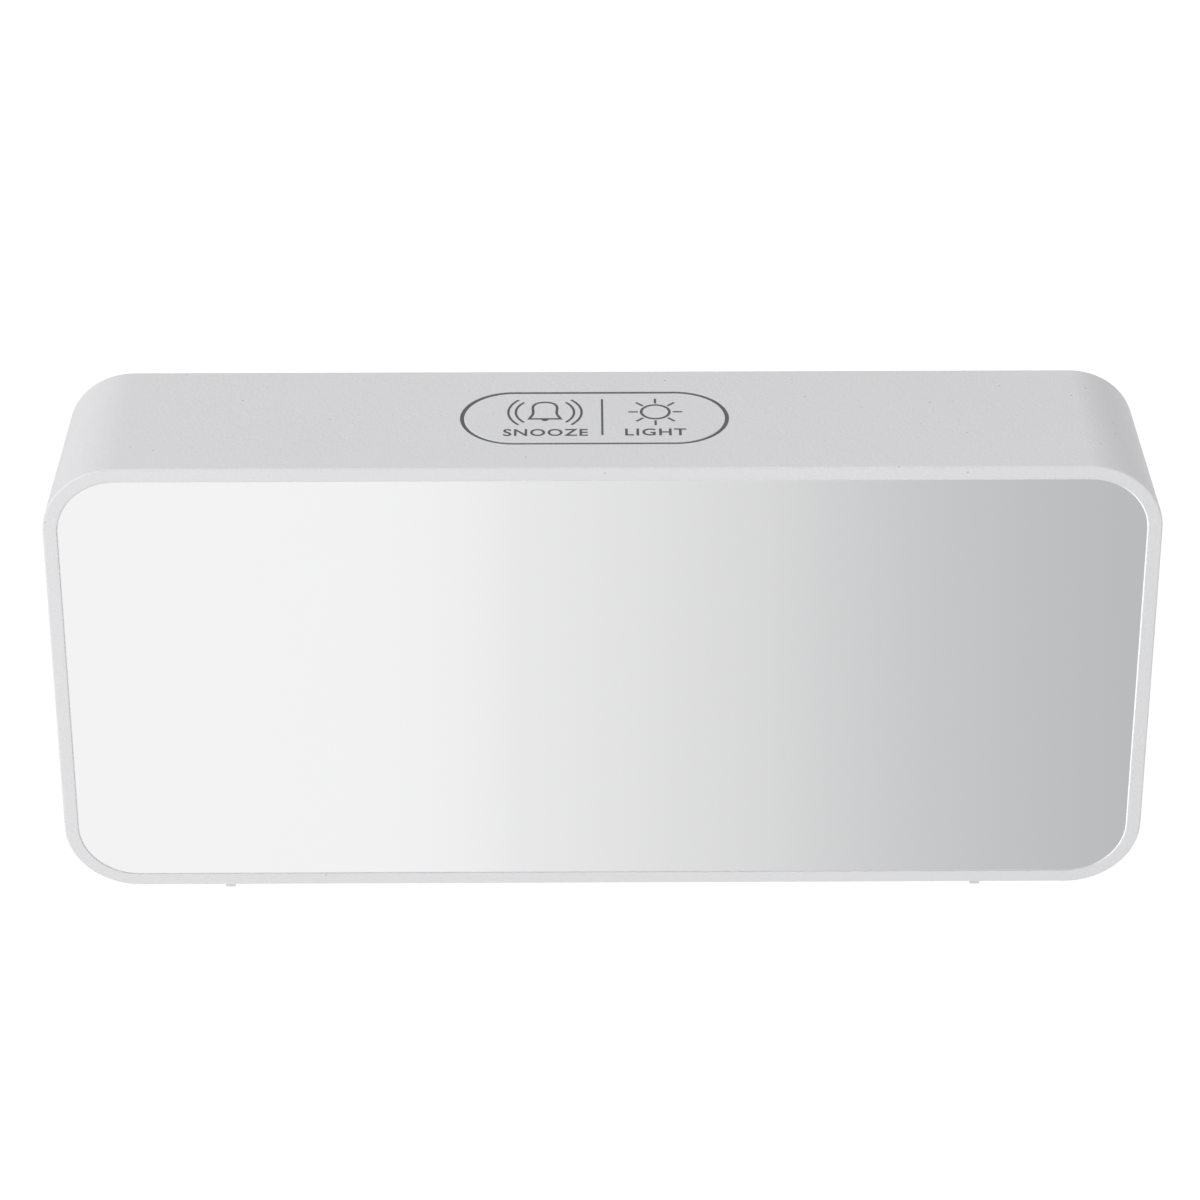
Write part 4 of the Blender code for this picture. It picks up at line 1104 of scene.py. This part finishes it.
def build_board_parts(solder, black):
    """Solder joints of the two chips and the crystal, and rows of small resistors on the main board."""
    back = board_high.y
    root = back + 0.02 * MM
    legs = []
    for node, pins, pitch in (("microcontroller", 8, 1.1 * MM), ("display_driver", 10, 1.27 * MM)):
        low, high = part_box(node)
        middle_x = (low.x + high.x) / 2
        for side, edge in ((-1, low.z), (1, high.z)):
            z = sorted((edge - side * 0.05 * MM, edge + side * 0.9 * MM))
            for i in range(pins):
                x = about(middle_x + (i - (pins - 1) / 2) * pitch, 0.2 * MM)
                legs.append(box(x, (root, back + 0.22 * MM), z))
    for i in range(6):
        centre = ((-52 + 4 * i) * MM, MIDDLE + 14 * MM)
        legs.append(solder_blob(centre, 0.8 * MM, back - 0.02 * MM))
    finished(gathered("chip_legs", legs), solder)
    chips = []
    for row in range(2):
        z = about(MIDDLE - (22 - 4 * row) * MM, 0.45 * MM)
        for i in range(9):
            x = about((-8 + 4.2 * i) * MM, 0.8 * MM)
            chips.append(box(x, (root, back + 0.5 * MM), z))
    finished(gathered("small_resistors", chips), black)


def paint(node, material):
    NODES[node].data.materials.clear()
    NODES[node].data.materials.append(material)


def soften(node, width, material):
    """A CAD node whose shape is right keeps it, with its edges eased and its own material."""
    bevel = NODES[node].modifiers.new("eased_edges", "BEVEL")
    bevel.width = width
    bevel.segments = 2
    bevel.limit_method = "ANGLE"
    bevel.angle_limit = math.radians(50)
    paint(node, material)


def dress_inner_nodes(black, steel):
    paint("lens_tape", foam())
    paint("diffuser_film", grained("diffuser_film", (0.5, 0.7), Transmission_Weight=0.35))
    paint("segment_reflector", grained("reflector_white"))
    paint("main_board", circuit_board("lamp_board", (1.0, 0.0, 1.0), lamps=True))
    paint("rear_board", circuit_board("rear_board_green", (1.0, 0.0, 1.0)))
    paint("key_board", circuit_board("key_board_green", (1.0, 1.0, 0.0)))
    for node in ("microcontroller", "display_driver"):
        soften(node, 0.15 * MM, black)
    for node in ("buzzer", "reservoir_capacitor"):
        soften(node, 0.25 * MM, black)
    soften("clock_crystal", 0.15 * MM, steel)
    nylon = grained("natural_nylon", Subsurface_Weight=0.1)
    for label in (*BUTTONS, "left", "right"):
        group = "" if label in BUTTONS else "key_"
        soften(f"{group}switch_{label}", 0.12 * MM, black)
        soften(f"{group}plunger_{label}", 0.12 * MM, nylon)
    paint("wire_positive", vinyl("red_vinyl", (0.50, 0.015, 0.012)))
    paint("wire_negative", vinyl("black_vinyl", (0.02, 0.02, 0.02)))
    cable = ribbon_cable()
    for node in ("ribbon_rear_board", "ribbon_key_board"):
        paint(node, cable)


# ======== stage, light and camera ========
def stage_plane(name, z, material):
    mesh = bpy.data.meshes.new(name)
    corners = [(x, y, z) for x, y in rectangle(about(0.0, STAGE_HALF), about(0.0, STAGE_HALF))]
    mesh.from_pydata(corners, [], [(0, 1, 2, 3)])
    mesh.materials.append(material)
    obj = placed(name, mesh)
    return obj


def floor_material():
    """Pale and even: partly lit from below, as a light table is, so that shadows stay faint."""
    glow = {"Emission_Color": (1, 1, 1, 1), "Emission_Strength": 0.924}
    return Shader("pale_floor", (0.15, 0.15, 0.15), 1.0, Specular_IOR_Level=0.0, **glow).material


def reflected_card_material():
    """What the mirror sees in front: white on the left, and greyer towards the right."""
    made = Shader("reflected_card", (0, 0, 0), 1.0, Specular_IOR_Level=0.0)
    x, y = made.along("X"), made.along("Y")
    half_width = about(0, 80 * MM)
    across = made.maths("DIVIDE", x, made.ranged(y, 1.0, 2.0, FRONT, FRONT - CARD_REACH))
    ramp = made.node("ShaderNodeValToRGB", Fac=made.ranged(across, 0.0, 1.0, *half_width))
    ramp.color_ramp.interpolation = "B_SPLINE"
    for i, (position, tone) in enumerate(zip(CARD_STOPS, CARD_TONES)):
        stop = ramp.color_ramp.elements[i] if i < 2 else ramp.color_ramp.elements.new(position)
        stop.position = position
        cool = max(0.0, position - 0.5)
        stop.color = (tone, tone * (1 + 0.016 * cool), tone * (1 + 0.06 * cool), 1)
    made.drive("Emission Color", ramp.outputs["Color"])
    behind = made.ranged(x, *CARD_BEHIND, *half_width)
    made.drive("Emission Strength", made.ranged(y, 1.0, behind, *mm(-5, 15)))
    return made.material


def build_stage():
    stage_plane("floor", 0.0, floor_material())
    card = stage_plane("reflected_card", 0.3 * MM, reflected_card_material())
    for ray in ("camera", "diffuse", "transmission", "volume_scatter", "shadow"):
        setattr(card, f"visible_{ray}", False)


def softbox(name, location, size, power):
    data = bpy.data.lights.new(name, "AREA")
    data.shape = "RECTANGLE"
    data.size, data.size_y = size
    data.energy = power
    lamp = placed(name, data)
    lamp.location = location
    lamp.rotation_euler = (LIGHT_AIM - lamp.location).to_track_quat("-Z", "Y").to_euler()


def build_lights():
    softbox("key_left", (-1.1, -0.55, 0.75), (0.9, 0.9), 8.0)
    softbox("fill_front", (0.1, -1.5, 0.7), (1.2, 0.8), 1.72)
    softbox("top", (-0.2, 0.1, 1.5), (1.2, 1.2), 6.7)
    softbox("rim_back", (0.3, 1.3, 0.8), (1.2, 0.6), 0.6)
    world = bpy.data.worlds.new("studio")
    world.use_nodes = True
    background = world.node_tree.nodes["Background"]
    background.inputs["Color"].default_value = (1.0, 1.0, 1.01, 1)
    background.inputs["Strength"].default_value = 0.38
    bpy.context.scene.world = world
    view = bpy.context.scene.view_settings
    view.view_transform = "Standard"
    view.look = "None"


def build_camera():
    """The camera looks down at the middle of the case's front, from slightly left of square on."""
    data = bpy.data.cameras.new("camera")
    data.sensor_width = 36
    data.lens = CAMERA_LENS
    data.clip_start, data.clip_end = 0.01, 20
    camera = placed("camera", data)
    elevation, azimuth = math.radians(CAMERA_ELEVATION), math.radians(CAMERA_AZIMUTH)
    level = Vector((math.sin(azimuth), math.cos(azimuth), 0))
    right = Vector((math.cos(azimuth), -math.sin(azimuth), 0))
    ahead = level * math.cos(elevation) - Vector((0, 0, math.sin(elevation)))
    up = right.cross(ahead)
    aim = Vector((0, FRONT, MIDDLE))
    camera.location = aim - ahead * CAMERA_DISTANCE + right * CAMERA_ASIDE.x + up * CAMERA_ASIDE.y
    camera.rotation_euler = ahead.to_track_quat("-Z", "Y").to_matrix().to_euler()
    bpy.context.scene.camera = camera


def main():
    white = moulded("case_plastic", (0.78, 0.78, 0.79), 0.46)
    key_white = moulded("key_plastic", (0.775, 0.775, 0.785), 0.44)
    grey = grained("grey_ink")
    black = grained("black_moulding", gloss=(0.42, 0.6))
    steel = plated_steel("nickel_steel", (0.70, 0.69, 0.67))
    build_housing(white)
    build_feet(grained("pale_rubber"))
    build_mirror(mirror_coating(), acrylic_edge_painted_glow())
    build_key(key_white)
    build_gap_shade_seal(grained("seal_painted_gap_shade"))
    build_key_printing(grey)
    build_rear_cover(white)
    build_door(white)
    build_buttons(key_white)
    build_back_printing(grey)
    bay_signs(white)
    build_screws(plated_steel("zinc_steel", (0.62, 0.63, 0.65), 0.3))
    build_contacts(steel)
    build_inlet(steel, black, plated_steel("gold_flash", (0.90, 0.66, 0.28), 0.2))
    build_board_parts(plated_steel("solder", (0.72, 0.72, 0.72), 0.28), black)
    dress_inner_nodes(black, steel)
    build_stage()
    build_lights()
    build_camera()


main()
